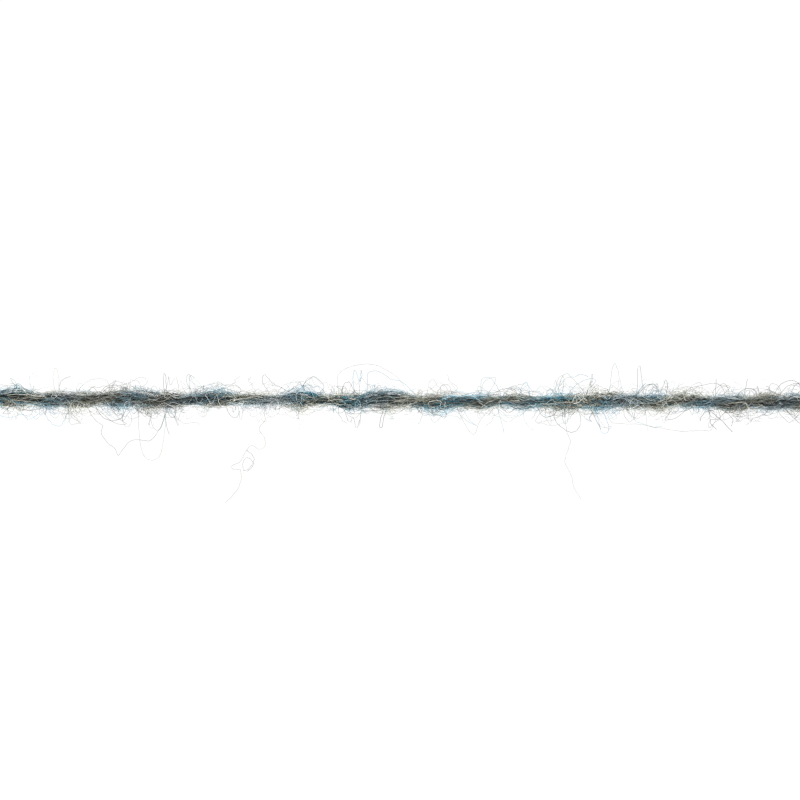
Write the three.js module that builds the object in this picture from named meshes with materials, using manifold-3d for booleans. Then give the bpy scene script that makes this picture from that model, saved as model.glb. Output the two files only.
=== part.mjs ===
// A cut length of lace weight wool yarn: two woollen-spun singles, one slate blue and one taupe, plied
// together and lying straight on a surface, with the stray fibres that stand out of it as its halo.
// Millimetres, +Z up. X runs along the strand, and the origin is the middle of its underside, where it
// rests.
import * as THREE from "three";
import { ParametricGeometry } from "three/addons/geometries/ParametricGeometry.js";
import { mergeVertices } from "three/addons/utils/BufferGeometryUtils.js";
import Module from "manifold-3d";

const STRAND_LONG = 44;
const STRAND_STEPS = 176;
const SECTION_SIDES = 18;

// One single in section: an oval flattened against its partner, its centre a little way off the axis.
const SINGLE_OFFSET = 0.17;
const SINGLE_HALF_DEEP = 0.24;
const SINGLE_HALF_WIDE = 0.3;
// How much of the groove between the singles is filled by the fibres that bridge it.
const GROOVE_FILL = 0.35;
// The axis lies this share of a single's half width above the surface, so its underside is pressed flat.
const SEAT_SHARE = 0.78;

// Where the blue single comes to an edge of the strand: first to the +Y edge, and then by turns to the -Y
// edge and the +Y edge, half a turn apart. The uneven gaps are the uneven ply twist.
const BLUE_AT_EDGE = [
  -23.75, -21.65, -19.6, -17.6, -16.25, -14.1, -12.6, -11.3, -9.3, -7.0, -4.9, -2.8, -0.6, 1.85, 3.7,
  5.85, 7.9, 10.2, 12.25, 14.85, 16.35, 18.5, 20.0, 22.2, 24.3,
];

// Thickness against the sizes above, and the sideways wander of the axis, along the strand.
const BODY = [
  { at: -22.5, swell: 0.9, sway: 0.03 },
  { at: -20.3, swell: 0.88, sway: 0.02 },
  { at: -18.8, swell: 1.2, sway: 0.07 },
  { at: -18.0, swell: 0.76, sway: -0.02 },
  { at: -17.0, swell: 0.9, sway: 0 },
  { at: -16.3, swell: 0.84, sway: -0.02 },
  { at: -15.6, swell: 0.92, sway: -0.01 },
  { at: -14.9, swell: 0.82, sway: 0.02 },
  { at: -13.3, swell: 1.12, sway: 0.03 },
  { at: -12.6, swell: 0.95, sway: 0 },
  { at: -11.9, swell: 0.98, sway: -0.03 },
  { at: -10.8, swell: 0.77, sway: -0.04 },
  { at: -9.3, swell: 0.91, sway: 0.03 },
  { at: -8.0, swell: 0.65, sway: 0.02 },
  { at: -6.1, swell: 0.63, sway: 0.04 },
  { at: -5.1, swell: 0.97, sway: 0.02 },
  { at: -3.5, swell: 0.61, sway: -0.02 },
  { at: -2.4, swell: 0.87, sway: -0.13 },
  { at: -1.3, swell: 1.07, sway: 0.02 },
  { at: 0, swell: 0.97, sway: 0.06 },
  { at: 1.0, swell: 0.76, sway: -0.03 },
  { at: 2.0, swell: 0.98, sway: -0.03 },
  { at: 3.5, swell: 0.76, sway: -0.03 },
  { at: 4.1, swell: 0.84, sway: -0.06 },
  { at: 5.0, swell: 0.6, sway: -0.01 },
  { at: 6.0, swell: 0.83, sway: -0.03 },
  { at: 7.2, swell: 0.64, sway: -0.03 },
  { at: 8.5, swell: 0.82, sway: -0.06 },
  { at: 9.3, swell: 0.77, sway: -0.03 },
  { at: 10.8, swell: 0.95, sway: 0.06 },
  { at: 12.1, swell: 0.69, sway: -0.03 },
  { at: 13.0, swell: 0.79, sway: -0.04 },
  { at: 14.2, swell: 0.72, sway: 0.07 },
  { at: 15.4, swell: 0.67, sway: 0 },
  { at: 16.8, swell: 0.9, sway: -0.03 },
  { at: 17.5, swell: 0.74, sway: -0.03 },
  { at: 18.4, swell: 0.8, sway: 0 },
  { at: 20.0, swell: 0.81, sway: 0 },
  { at: 22.5, swell: 0.86, sway: 0.02 },
];

// Stray fibres thick enough to draw as solids: three-sided, with their roots sunk into the strand. One
// that lies on the surface has a flat side down, so its middle is half a radius up.
const FIBRE_RADIUS = 0.032;
const FIBRE_SIDES = 3;
const FIBRE_REST = FIBRE_RADIUS / 2;
// A loop's shoulders are this share of its reach out, and each stands off its middle by a share of its span.
const LOOP_SHOULDER = 0.75;
const LOOP_FULLNESS = 0.36;
const NARROWEST_LOOP = 0.35;
const LOOP_STEPS = 12;
// A loose end comes to its full height before it has gone all the way out.
const END_RISES_EARLY = 1.6;
const STEPS_TO_A_WAVE = 3;

// Loops: both roots are in the strand, span apart. reach is how far the top of the loop stands off the
// axis along Y, lean is how far it tips along X, and lift is its height over the surface. A loop with
// no lift lies on the surface from root to root.
const LOOPS = [
  { at: -17.25, span: 0.3, reach: 1.5, lean: -0.1, lift: 0 },
  { at: -16.1, span: 1.6, reach: 1.05, lean: 0.1, lift: 0.5 },
  { at: -11.8, span: 0.25, reach: 1.3, lean: 0, lift: 1.1 },
  { at: -6.6, span: 1.0, reach: 1.25, lean: -0.45, lift: 0.6 },
  { at: -3.3, span: 3.2, reach: 1.72, lean: -0.3, lift: 0 },
  { at: -2.3, span: 0.45, reach: 1.45, lean: 0, lift: 0.35 },
  { at: -1.6, span: 1.8, reach: 1.35, lean: -0.1, lift: 1.2 },
  { at: 1.35, span: 0.9, reach: 1.05, lean: -0.1, lift: 0.7 },
  { at: 4.0, span: 0.9, reach: 1.2, lean: -0.1, lift: 0.5 },
  { at: 5.95, span: 0.5, reach: 0.95, lean: 0.1, lift: 0.9 },
  { at: 7.75, span: 0.35, reach: 1.3, lean: 0.2, lift: 0.8 },
  { at: 8.5, span: 0.9, reach: 1.1, lean: 0.5, lift: 0.4 },
  { at: 10.4, span: 0.7, reach: 1.9, lean: 0, lift: 0 },
  { at: 11.9, span: 1.15, reach: 0.95, lean: 0, lift: 0.9 },
  { at: 14.3, span: 1.8, reach: 0.95, lean: 0.1, lift: 0.6 },
  { at: 18.6, span: 1.7, reach: 1.1, lean: 0.1, lift: 0.9 },
  { at: -20.6, span: 2.2, reach: -0.95, lean: 0.1, lift: 0 },
  { at: -15.2, span: 1.45, reach: -1.1, lean: 0, lift: 0.5 },
  { at: -15.6, span: 3.7, reach: -2.7, lean: -0.5, lift: 0 },
  { at: -12.6, span: 0.7, reach: -1.6, lean: 0.2, lift: 0.4 },
  { at: -11.6, span: 0.4, reach: -0.95, lean: 0, lift: 1.0 },
  { at: -8.5, span: 0.5, reach: -0.95, lean: 0.2, lift: 0.6 },
  { at: -1.0, span: 0.25, reach: -1.4, lean: 0, lift: 0.7 },
  { at: 7.0, span: 0.7, reach: -0.8, lean: 0, lift: 0.8 },
  { at: 7.7, span: 1.3, reach: -1.55, lean: 0.1, lift: 0.2 },
  { at: 9.8, span: 0.7, reach: -1.6, lean: 0.2, lift: 0.6 },
  { at: 10.9, span: 4.4, reach: -1.45, lean: 0.3, lift: 0 },
  { at: 15.1, span: 0.9, reach: -0.9, lean: 0, lift: 0.9 },
  { at: 17.5, span: 1.0, reach: -0.9, lean: -0.2, lift: 0.5 },
  { at: -18.6, span: 0.8, reach: 0.35, lean: 0, lift: 1.45 },
  { at: -13.4, span: 1.1, reach: -0.3, lean: 0.2, lift: 1.6 },
  { at: -4.6, span: 0.7, reach: 0.2, lean: -0.1, lift: 1.5 },
  { at: 2.9, span: 1.0, reach: -0.4, lean: 0.1, lift: 1.7 },
  { at: 12.7, span: 0.8, reach: 0.3, lean: 0, lift: 1.55 },
  { at: 19.6, span: 0.6, reach: -0.3, lean: 0.1, lift: 1.4 },
];

// Loose ends: one root is in the strand, and the fibre waves its way out to a free tip. waves is the
// number of bends on the way, and curl is how far each one swings.
const ENDS = [
  { at: -16.9, reach: 1.1, lean: 0.3, lift: 0.9, waves: 1, curl: 0.08 },
  { at: -10.4, reach: 1.2, lean: 0.1, lift: 0.5, waves: 1, curl: 0.06 },
  { at: 8.1, reach: 1.35, lean: 1.5, lift: 1.0, waves: 3, curl: 0.1 },
  { at: 15.75, reach: 1.2, lean: -0.1, lift: 0.9, waves: 1, curl: 0.05 },
  { at: 17.2, reach: 1.15, lean: 0.1, lift: 0.6, waves: 1, curl: 0.06 },
  { at: -6.8, reach: -5.15, lean: -1.9, lift: 0, waves: 5, curl: 0.32 },
  { at: -4.0, reach: -1.15, lean: 1.8, lift: 0.2, waves: 2, curl: 0.14 },
  { at: 0.9, reach: -1.8, lean: 0.9, lift: 0.3, waves: 2, curl: 0.1 },
  { at: 8.35, reach: -4.85, lean: 0.75, lift: 0, waves: 3, curl: 0.2 },
  { at: 15.45, reach: -1.4, lean: 0.3, lift: 0.7, waves: 1, curl: 0.1 },
  { at: 15.7, reach: -1.55, lean: 1.0, lift: 0.4, waves: 1, curl: 0.1 },
  { at: 19.4, reach: -1.15, lean: 0.7, lift: 0.5, waves: 1, curl: 0.08 },
];

// A smooth curve through a table's column, as a function of the place along the strand.
function column(places, values) {
  const curve = new THREE.CubicInterpolant(places, values, 1);
  return (x) => curve.evaluate(x)[0];
}

const places = BODY.map((row) => row.at);
const swellAt = column(places, BODY.map((row) => row.swell));
const swayAt = column(places, BODY.map((row) => row.sway));
const turnsAt = column(BLUE_AT_EDGE, BLUE_AT_EDGE.map((at, half) => 0.25 + half / 2));

function axisHeight(x) {
  return SEAT_SHARE * SINGLE_HALF_WIDE * swellAt(x);
}

// How far one single's oval reaches from the strand's axis, at an angle from the line between the singles.
function ovalReach(angle) {
  const across = Math.sin(angle) / SINGLE_HALF_WIDE;
  const along = Math.abs(Math.cos(angle)) / SINGLE_HALF_DEEP;
  const shift = SINGLE_OFFSET / SINGLE_HALF_DEEP;
  const square = along * along + across * across;
  return (along * shift + Math.sqrt(along * along * shift * shift + square * (1 - shift * shift))) / square;
}

function sectionReach(angle) {
  const filled = Math.max(ovalReach(angle), SINGLE_HALF_WIDE * Math.abs(Math.sin(angle)));
  return THREE.MathUtils.lerp(ovalReach(angle), filled, GROOVE_FILL);
}

// A point of the strand's skin. The plies turn with x, and the underside is flat where it meets the surface.
function skinPoint(x, around, share, target) {
  const ply = 2 * Math.PI * turnsAt(x);
  const reach = share * swellAt(x) * sectionReach(around);
  const y = swayAt(x) + reach * Math.sin(ply + around);
  const z = axisHeight(x) + reach * Math.cos(ply + around);
  target.set(x, y, Math.max(z, 0));
}

function merged(geometry) {
  geometry.deleteAttribute("normal");
  geometry.deleteAttribute("uv");
  return mergeVertices(geometry, 1e-4);
}

// The first and the last ring shrink to the axis, which closes the strand with its two cut ends.
function strandGeometry() {
  const rings = STRAND_STEPS + 2;
  const skin = (along, around, target) => {
    const ring = Math.round(along * rings);
    const step = THREE.MathUtils.clamp(ring - 1, 0, STRAND_STEPS);
    const x = STRAND_LONG * (step / STRAND_STEPS - 0.5);
    const share = ring === 0 || ring === rings ? 0 : 1;
    const side = Math.round(around * SECTION_SIDES) % SECTION_SIDES;
    skinPoint(x, (2 * Math.PI * side) / SECTION_SIDES, share, target);
  };
  return merged(new ParametricGeometry(skin, rings, SECTION_SIDES));
}

function fibreGeometry(points, steps) {
  const section = new THREE.Shape();
  for (let side = 0; side < FIBRE_SIDES; side++) {
    const angle = (2 * Math.PI * (side + 0.5)) / FIBRE_SIDES;
    const corner = new THREE.Vector2(FIBRE_RADIUS * Math.cos(angle), FIBRE_RADIUS * Math.sin(angle));
    if (side) section.lineTo(corner.x, corner.y);
    else section.moveTo(corner.x, corner.y);
  }
  const path = new THREE.CatmullRomCurve3(points);
  return merged(new THREE.ExtrudeGeometry(section, { steps, extrudePath: path }));
}

function rootPoint(x, lift) {
  return new THREE.Vector3(x, swayAt(x), lift ? axisHeight(x) : FIBRE_REST);
}

// A loop rises from its first root, rounds over at its top and comes back down to its second root.
function loopGeometry({ at, span, reach, lean, lift }) {
  const start = rootPoint(at, lift);
  const end = rootPoint(at + span, lift);
  const height = Math.max(lift, FIBRE_REST);
  const middle = at + span / 2 + lean;
  const spread = LOOP_FULLNESS * Math.max(span, NARROWEST_LOOP);
  const side = (sign, out) => {
    return new THREE.Vector3(middle + sign * spread, reach * out, THREE.MathUtils.lerp(start.z, height, out));
  };
  const top = new THREE.Vector3(middle, reach, height);
  return fibreGeometry([start, side(-1, LOOP_SHOULDER), top, side(1, LOOP_SHOULDER), end], LOOP_STEPS);
}

function endGeometry({ at, reach, lean, lift, waves, curl }) {
  const start = rootPoint(at, lift);
  const height = Math.max(lift, FIBRE_REST);
  const points = [start];
  const steps = 2 * waves + 1;
  for (let step = 1; step <= steps; step++) {
    const out = step / steps;
    const swing = curl * Math.sin(out * waves * Math.PI + out);
    const rise = THREE.MathUtils.lerp(start.z, height, Math.min(1, END_RISES_EARLY * out));
    points.push(new THREE.Vector3(at + lean * out + swing, reach * out, rise));
  }
  return fibreGeometry(points, STEPS_TO_A_WAVE * (waves + 1));
}

const wasm = await Module();
wasm.setup();

function solid(geometry) {
  return new wasm.Manifold(
    new wasm.Mesh({
      numProp: 3,
      vertProperties: new Float32Array(geometry.attributes.position.array),
      triVerts: new Uint32Array(geometry.index.array),
    }),
  );
}

function geometryOf(body) {
  const mesh = body.getMesh();
  const geometry = new THREE.BufferGeometry();
  geometry.setAttribute("position", new THREE.BufferAttribute(mesh.vertProperties, 3));
  geometry.setIndex(new THREE.BufferAttribute(mesh.triVerts, 1));
  geometry.computeVertexNormals();
  return geometry;
}

// The strand and the stray fibres rooted in it are one body.
function twoPlyStrand() {
  let body = solid(strandGeometry());
  for (const loop of LOOPS) body = body.add(solid(loopGeometry(loop)));
  for (const end of ENDS) body = body.add(solid(endGeometry(end)));
  const wool = new THREE.MeshStandardMaterial({ color: 0x5c6463, roughness: 0.95, metalness: 0 });
  const mesh = new THREE.Mesh(geometryOf(body), wool);
  mesh.name = "two_ply_strand";
  return mesh;
}

const yarn = new THREE.Group();
yarn.add(twoPlyStrand());

export default yarn;
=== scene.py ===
"""Lace weight wool yarn, built fibre by fibre: a slate blue and a taupe single, plied together.

Tables and fibre paths are in millimetres, as the part's source is, and Blender gets metres.
X runs along the strand, Y across it on the surface, and Z up.
"""

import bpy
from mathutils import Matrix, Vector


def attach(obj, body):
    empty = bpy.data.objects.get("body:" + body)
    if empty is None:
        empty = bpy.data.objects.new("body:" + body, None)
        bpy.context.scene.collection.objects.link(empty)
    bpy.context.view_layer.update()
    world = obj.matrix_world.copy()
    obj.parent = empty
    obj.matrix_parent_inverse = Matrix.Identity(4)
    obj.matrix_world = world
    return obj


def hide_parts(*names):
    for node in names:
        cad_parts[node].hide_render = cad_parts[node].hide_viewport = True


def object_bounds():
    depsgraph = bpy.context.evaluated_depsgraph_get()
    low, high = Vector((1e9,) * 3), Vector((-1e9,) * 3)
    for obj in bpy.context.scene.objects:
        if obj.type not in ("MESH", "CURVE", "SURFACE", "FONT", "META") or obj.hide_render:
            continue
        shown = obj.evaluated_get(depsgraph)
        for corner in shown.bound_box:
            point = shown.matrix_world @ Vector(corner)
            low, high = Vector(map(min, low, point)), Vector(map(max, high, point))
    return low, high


bl_info = {
    "name": "Lace Weight Yarn",
    "version": (1, 0, 0),
    "blender": (4, 5, 0),
    "location": "3D View > Sidebar > Yarn",
    "description": "Builds a two-ply lace weight wool yarn and the halo of fibres around it",
    "category": "Add Mesh",
}

import math
from collections import namedtuple

import bpy
import numpy as np

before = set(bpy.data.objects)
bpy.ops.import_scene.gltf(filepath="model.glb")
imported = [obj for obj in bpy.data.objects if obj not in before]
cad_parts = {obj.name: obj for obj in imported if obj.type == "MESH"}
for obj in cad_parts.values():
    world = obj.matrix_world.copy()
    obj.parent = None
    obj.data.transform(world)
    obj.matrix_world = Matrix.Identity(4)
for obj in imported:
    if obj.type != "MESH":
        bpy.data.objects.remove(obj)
CAD_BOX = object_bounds()

STRAND_NODE = "two_ply_strand"
MM = 0.001
HALF_LONG = CAD_BOX[1].x / MM

# The plied strand, as in the part's source: one single's oval section, how far the groove between the two is
# filled, and how high the strand's axis lies, in shares of a single's half width. The spun fibres wind round
# centres that are held in a little, nearer the axis.
SINGLE_OFFSET = 0.17
SINGLE_HALF_DEEP = 0.24
SINGLE_HALF_WIDE = 0.3
GROOVE_FILL = 0.35
SEAT_SHARE = 0.78
HELD_IN = 0.75

# The two singles. A single's ply is its place here, so the blue one is ply 0.
SINGLES = ("blue", "taupe")
BLUE_PLY = 0

# Where the blue single comes to an edge of the strand: to the +Y edge first, and then by turns to the -Y edge
# and the +Y edge. The uneven gaps are the uneven ply twist.
BLUE_AT_EDGE = [
    -23.75, -21.65, -19.6, -17.6, -16.25, -14.1, -12.6, -11.3, -9.3, -7.0, -4.9, -2.8, -0.6,
    1.85, 3.7, 5.85, 7.9, 10.2, 12.25, 14.85, 16.35, 18.5, 20.0, 22.2, 24.3,
]

# Thickness and sideways wander of the strand.
Body = namedtuple("Body", "at swell sway")
BODY = [
    Body(-22.5, 0.9, 0.03),
    Body(-20.3, 0.88, 0.02),
    Body(-18.8, 1.2, 0.07),
    Body(-18.0, 0.76, -0.02),
    Body(-17.0, 0.9, 0),
    Body(-16.3, 0.84, -0.02),
    Body(-15.6, 0.92, -0.01),
    Body(-14.9, 0.82, 0.02),
    Body(-13.3, 1.12, 0.03),
    Body(-12.6, 0.95, 0),
    Body(-11.9, 0.98, -0.03),
    Body(-10.8, 0.77, -0.04),
    Body(-9.3, 0.91, 0.03),
    Body(-8.0, 0.65, 0.02),
    Body(-6.1, 0.63, 0.04),
    Body(-5.1, 0.97, 0.02),
    Body(-3.5, 0.61, -0.02),
    Body(-2.4, 0.87, -0.13),
    Body(-1.3, 1.07, 0.02),
    Body(0, 0.97, 0.06),
    Body(1.0, 0.76, -0.03),
    Body(2.0, 0.98, -0.03),
    Body(3.5, 0.76, -0.03),
    Body(4.1, 0.84, -0.06),
    Body(5.0, 0.6, -0.01),
    Body(6.0, 0.83, -0.03),
    Body(7.2, 0.64, -0.03),
    Body(8.5, 0.82, -0.06),
    Body(9.3, 0.77, -0.03),
    Body(10.8, 0.95, 0.06),
    Body(12.1, 0.69, -0.03),
    Body(13.0, 0.79, -0.04),
    Body(14.2, 0.72, 0.07),
    Body(15.4, 0.67, 0),
    Body(16.8, 0.9, -0.03),
    Body(17.5, 0.74, -0.03),
    Body(18.4, 0.8, 0),
    Body(20.0, 0.81, 0),
    Body(22.5, 0.86, 0.02),
]

# The heather and the halo along the strand: how blue the blue wool is, how light the blue and the taupe wool
# are, and how thick the halo is on the +Y side, above, and on the -Y side, below. The end rows hold it level.
Stretch = namedtuple("Stretch", "at blueness blue taupe above below")
STRETCHES = [
    Stretch(-22, 1.15, 0.85, 1.58, 1.0, 3.3),
    Stretch(-18.75, 1.15, 0.85, 1.58, 1.0, 3.3),
    Stretch(-16.25, 0.25, 1.42, 1.05, 1.1, 5.7),
    Stretch(-13.75, 0.67, 1.41, 0.64, 2.5, 5.1),
    Stretch(-11.25, 0.45, 0.75, 0.88, 1.1, 2.9),
    Stretch(-8.75, 0.78, 1.17, 1.28, 4.0, 1.05),
    Stretch(-6.25, 0.2, 1.35, 1.68, 0.95, 6.0),
    Stretch(-3.75, 1.3, 0.79, 1.27, 4.2, 0.88),
    Stretch(-1.25, 0.66, 1.0, 1.17, 2.0, 2.15),
    Stretch(1.25, 0.88, 1.07, 2.15, 1.15, 4.6),
    Stretch(3.75, 0.86, 1.8, 0.93, 1.1, 1.45),
    Stretch(6.25, 0.72, 1.3, 1.38, 1.6, 2.1),
    Stretch(8.75, 1.15, 1.75, 1.25, 5.4, 5.5),
    Stretch(11.25, 0.42, 1.22, 1.36, 2.1, 2.9),
    Stretch(13.75, 0.82, 0.9, 1.25, 5.6, 1.55),
    Stretch(16.25, 0.48, 1.55, 0.77, 1.8, 3.6),
    Stretch(18.75, 0.42, 0.92, 1.02, 4.9, 2.6),
    Stretch(22, 0.42, 0.92, 1.02, 4.9, 2.6),
]

# Fibre meshes: three sides, pointed at both ends. Their thickness varies between these shares of the piece's
# own, and each fills this share of its cell in the bake map.
FIBRE_SIDES = 3
THINNEST = 0.75
THICKEST = 1.25
CELL_USED = 0.6

# What would sink into the surface lies this far over it.
OVER_SURFACE = 0.002

# Crimp: a wool fibre waves about once in this length. Each wave is the sum of three, at these paces, which
# vary between the two shares.
CRIMP_LONG = 0.9
WAVE_PACES = (0.45, 1.0, 1.7)
SLOWEST = 0.8
FASTEST = 1.25

# How often a loose fibre's heading swings to and fro in one wave of its crimp.
SWINGS = 1.6

# How a single's fibres lie. Lengths are in millimetres. The depths are distances from the single's own
# centre as shares of its radius, uneven is how much one fibre's depth wanders, sideways is its wander round
# the single in radians, lifted is how far its tips stand out, and settled is how much lower the fibres lie
# than they spread.
Spin = namedtuple("Spin", "steps shortest longest deepest usual outermost uneven sideways lifted settled")
INNER = Spin(56, 2.0, 6.0, 0.25, 0.35, 0.66, 0.04, 0.1, -0.3, 0)
LOFTED = Spin(32, 1.2, 5.0, 0.3, 0.7, 2.0, 0.08, 0.16, 0.3, 0.2)

# How much one spun fibre's own twist differs from the next one's, and how suddenly its tips lift.
TWIST_VARIES = 0.15
SPUN_TIPS = 6

# Loose fibres on and round the strand are pressed down and out to its sides, as it lies on its surface.
PRESSED_DOWN = 0.2
PRESSED_OUT = 0.45

# Painted shade: how much of its height over the strand's skin a fibre's loft, and so its painted lightness,
# loses where it stands right over it, as the strand keeps the glowing floor's light off it.
SHADED = 1.0

# The spun fibres open out in a brush at the cut ends: over what length, and how fast.
SPLAYED_LONG = 0.5
SPLAY = 0.9

# Fibres that stand off the strand are rooted this far under its skin.
ROOT_DEPTH = 0.09

# How far round from their own single's middle they are rooted, in radians, and how many places are tried
# for each of them.
ROOTS_ROUND = 0.85
ROOT_TRIES = 4

# Painted shade and light: how light the wool is painted, and how strong its colour, from deep in the strand
# out to the halo. The deep fibres are painted dark for the shade inside the strand, and the outer ones
# painted lighter, with their colour painted strongest near the skin, for the light that reaches them from all
# sides and through them.
Loft = namedtuple("Loft", "out tone saturation")
LOFT_SHADING = [
    Loft(0.3, 0.2, 0.95),
    Loft(0.6, 0.41, 0.97),
    Loft(0.9, 1.04, 1.04),
    Loft(1.15, 1.9, 1.14),
    Loft(1.6, 2.15, 0.92),
    Loft(2.4, 2.05, 0.4),
]

# No fibre is more than this much lighter than its colour.
LIGHTEST = 2.4

# No random loop, curl or loose end stands farther than this over the strand's skin.
TALLEST = 1.1

# How many samples of the strand's skin are taken to find how high it is.
SKIN_SAMPLES = 61

# Keeps a division from failing.
TINY = 1e-12


def column(table, name):
    """One column of a table of named rows."""
    return [getattr(row, name) for row in table]


def curve_through(places, values):
    """A smooth curve through values at their places, as a function of the place."""
    places = np.array(places, float)
    values = np.array(values, float)
    slopes = np.zeros(len(places))
    slopes[1:-1] = (values[2:] - values[:-2]) / (places[2:] - places[:-2])

    def at(x):
        left = np.clip(np.searchsorted(places, x) - 1, 0, len(places) - 2)
        gap = places[left + 1] - places[left]
        t = (x - places[left]) / gap
        rise = t * t * (3 - 2 * t)
        bend = t * (1 - t) * ((1 - t) * slopes[left] - t * slopes[left + 1]) * gap
        return values[left] + (values[left + 1] - values[left]) * rise + bend

    return at


swell_at = curve_through(column(BODY, "at"), column(BODY, "swell"))
sway_at = curve_through(column(BODY, "at"), column(BODY, "sway"))

# The blue single is half a turn farther round at each edge, and the +Y edge is a quarter turn from +Z.
turns_at = curve_through(BLUE_AT_EDGE, [0.25 + half / 2 for half in range(len(BLUE_AT_EDGE))])


def axis_height(x):
    return SEAT_SHARE * SINGLE_HALF_WIDE * swell_at(x)


def ply_angle(x, ply):
    """The direction from the strand's axis to one single's centre, turned from +Z towards +Y."""
    return 2 * np.pi * turns_at(x) + np.pi * ply


def oval_reach(angle):
    """From a single's own centre to its skin."""
    return 1 / np.sqrt((np.cos(angle) / SINGLE_HALF_DEEP) ** 2 + (np.sin(angle) / SINGLE_HALF_WIDE) ** 2)


def section_reach(angle):
    """From the strand's axis to its skin, at an angle from the line between the singles."""
    across = np.sin(angle) / SINGLE_HALF_WIDE
    along = np.abs(np.cos(angle)) / SINGLE_HALF_DEEP
    shift = SINGLE_OFFSET / SINGLE_HALF_DEEP
    square = along**2 + across**2
    bare = (along * shift + np.sqrt((along * shift) ** 2 + square * (1 - shift**2))) / square
    filled = np.maximum(bare, SINGLE_HALF_WIDE * np.abs(np.sin(angle)))
    return bare + GROOVE_FILL * (filled - bare)


def skin_reach(x, around):
    return swell_at(x) * section_reach(around - ply_angle(x, BLUE_PLY))


def off_axis(x, around, reach):
    """Points this far from the strand's axis, in the direction around."""
    y = sway_at(x) + reach * np.sin(around)
    z = axis_height(x) + reach * np.cos(around)
    return np.stack([x, y, z], axis=-1)


def top_of_strand(x, y):
    """How high the strand's skin is at a place seen from above."""
    around = np.linspace(-np.pi / 2, np.pi / 2, SKIN_SAMPLES)
    reach = skin_reach(x, around)
    return np.interp(y - sway_at(x), reach * np.sin(around), axis_height(x) + reach * np.cos(around))


def wander(rng, count, steps, waves, size):
    """A slow random wave for each fibre. waves and size are numbers, or one for each fibre."""
    share = np.linspace(0, 1, steps)
    waves = np.broadcast_to(waves, count)[:, None]
    total = np.zeros((count, steps))
    for pace in WAVE_PACES:
        phase = rng.uniform(0, 2 * np.pi, (count, 1))
        speed = pace * rng.uniform(SLOWEST, FASTEST, (count, 1))
        total += rng.normal(0, 1, (count, 1)) * np.sin(2 * np.pi * speed * waves * share + phase)
    return total * np.broadcast_to(size, count)[:, None] / math.sqrt(len(WAVE_PACES))


def at_tips(steps, suddenness):
    """0 along most of a fibre, and 1 at its two tips."""
    return np.abs(np.linspace(-1, 1, steps)) ** suddenness


def spread_along(rng, count, shortest, longest, brush):
    """Where each fibre starts and ends along the strand. Those at its ends are cut off there, in a brush."""
    length = rng.uniform(shortest, longest, count)
    middle = rng.uniform(-HALF_LONG, HALF_LONG, count)
    cut = HALF_LONG + rng.uniform(0, brush, count)
    return np.maximum(middle - length / 2, -cut), np.minimum(middle + length / 2, cut)


def along_between(start, end, steps):
    return start[:, None] + (end - start)[:, None] * np.linspace(0, 1, steps)


def spun_paths(rng, ply, count, spin, given):
    """Fibres spun into a single. Each winds round the single's centre as the single winds round the axis."""
    start, end = spread_along(rng, count, spin.shortest, spin.longest, given.brush_long / MM)
    x = along_between(start, end, spin.steps)
    waves = (end - start) / CRIMP_LONG
    strayed = rng.random((count, 1)) < given.blended
    turn = ply_angle(x, ply + strayed)
    own_twist = rng.normal(given.own_twist, TWIST_VARIES, (count, 1))
    around = rng.uniform(0, 2 * np.pi, (count, 1)) + (1 - own_twist) * (turn - turn[:, :1])
    around += wander(rng, count, spin.steps, waves, spin.sideways)
    depth = rng.triangular(spin.deepest, spin.usual, spin.outermost, (count, 1))
    depth = depth + spin.lifted * rng.uniform(0, 1, (count, 1)) * at_tips(spin.steps, SPUN_TIPS)
    depth = depth + wander(rng, count, spin.steps, waves, spin.uneven)
    swell = swell_at(x)
    reach = swell * oval_reach(around - turn) * depth
    reach = reach * (1 + SPLAY * np.maximum(np.abs(x) - HALF_LONG + SPLAYED_LONG, 0))
    offset = swell * SINGLE_OFFSET * HELD_IN
    y = sway_at(x) + offset * np.sin(turn) + reach * np.sin(around)
    z = axis_height(x) + (1 - spin.settled) * (offset * np.cos(turn) + reach * np.cos(around))
    return np.stack([x, y, z], axis=-1)


def crimped(rng, length, steps, heading, swing):
    """Fibres laid out flat. Each one's heading swings to and fro as it crimps, so now and then it loops."""
    waves = length[:, 0] / CRIMP_LONG
    turned = heading + wander(rng, len(length), steps, SWINGS * waves, swing)
    pace = length / (steps - 1)
    return pace * np.cumsum(np.cos(turned), axis=1), pace * np.cumsum(np.sin(turned), axis=1)


def kept_within(x):
    """Fibres that would reach past a cut end are moved in along the strand, whole."""
    x = x - np.maximum(x.max(axis=1, keepdims=True) - HALF_LONG, 0)
    return x + np.maximum(-HALF_LONG - x.min(axis=1, keepdims=True), 0)


# Crossing fibres: their lengths, their heading off the strand's own line and how much it varies, how far it
# swings as they crimp, how far round from their single's middle they lie, how far they sink and rise against
# the strand's skin, how far and how suddenly their tips dip, and how uneven they are. Angles are in radians.
CROSSING_STEPS = 34
CROSSING_SHORTEST = 0.7
CROSSING_LONGEST = 3.0
CROSSING_HEADING = 0.15
CROSSING_VARIES = 0.32
CROSSING_SWING = 0.42
CROSSING_ROUND = 0.9
CROSSING_LOWEST = -0.07
CROSSING_HIGHEST = 0.05
CROSSING_DIPS = 0.1
CROSSING_TIPS = 8
CROSSING_UNEVEN = 0.02


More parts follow.
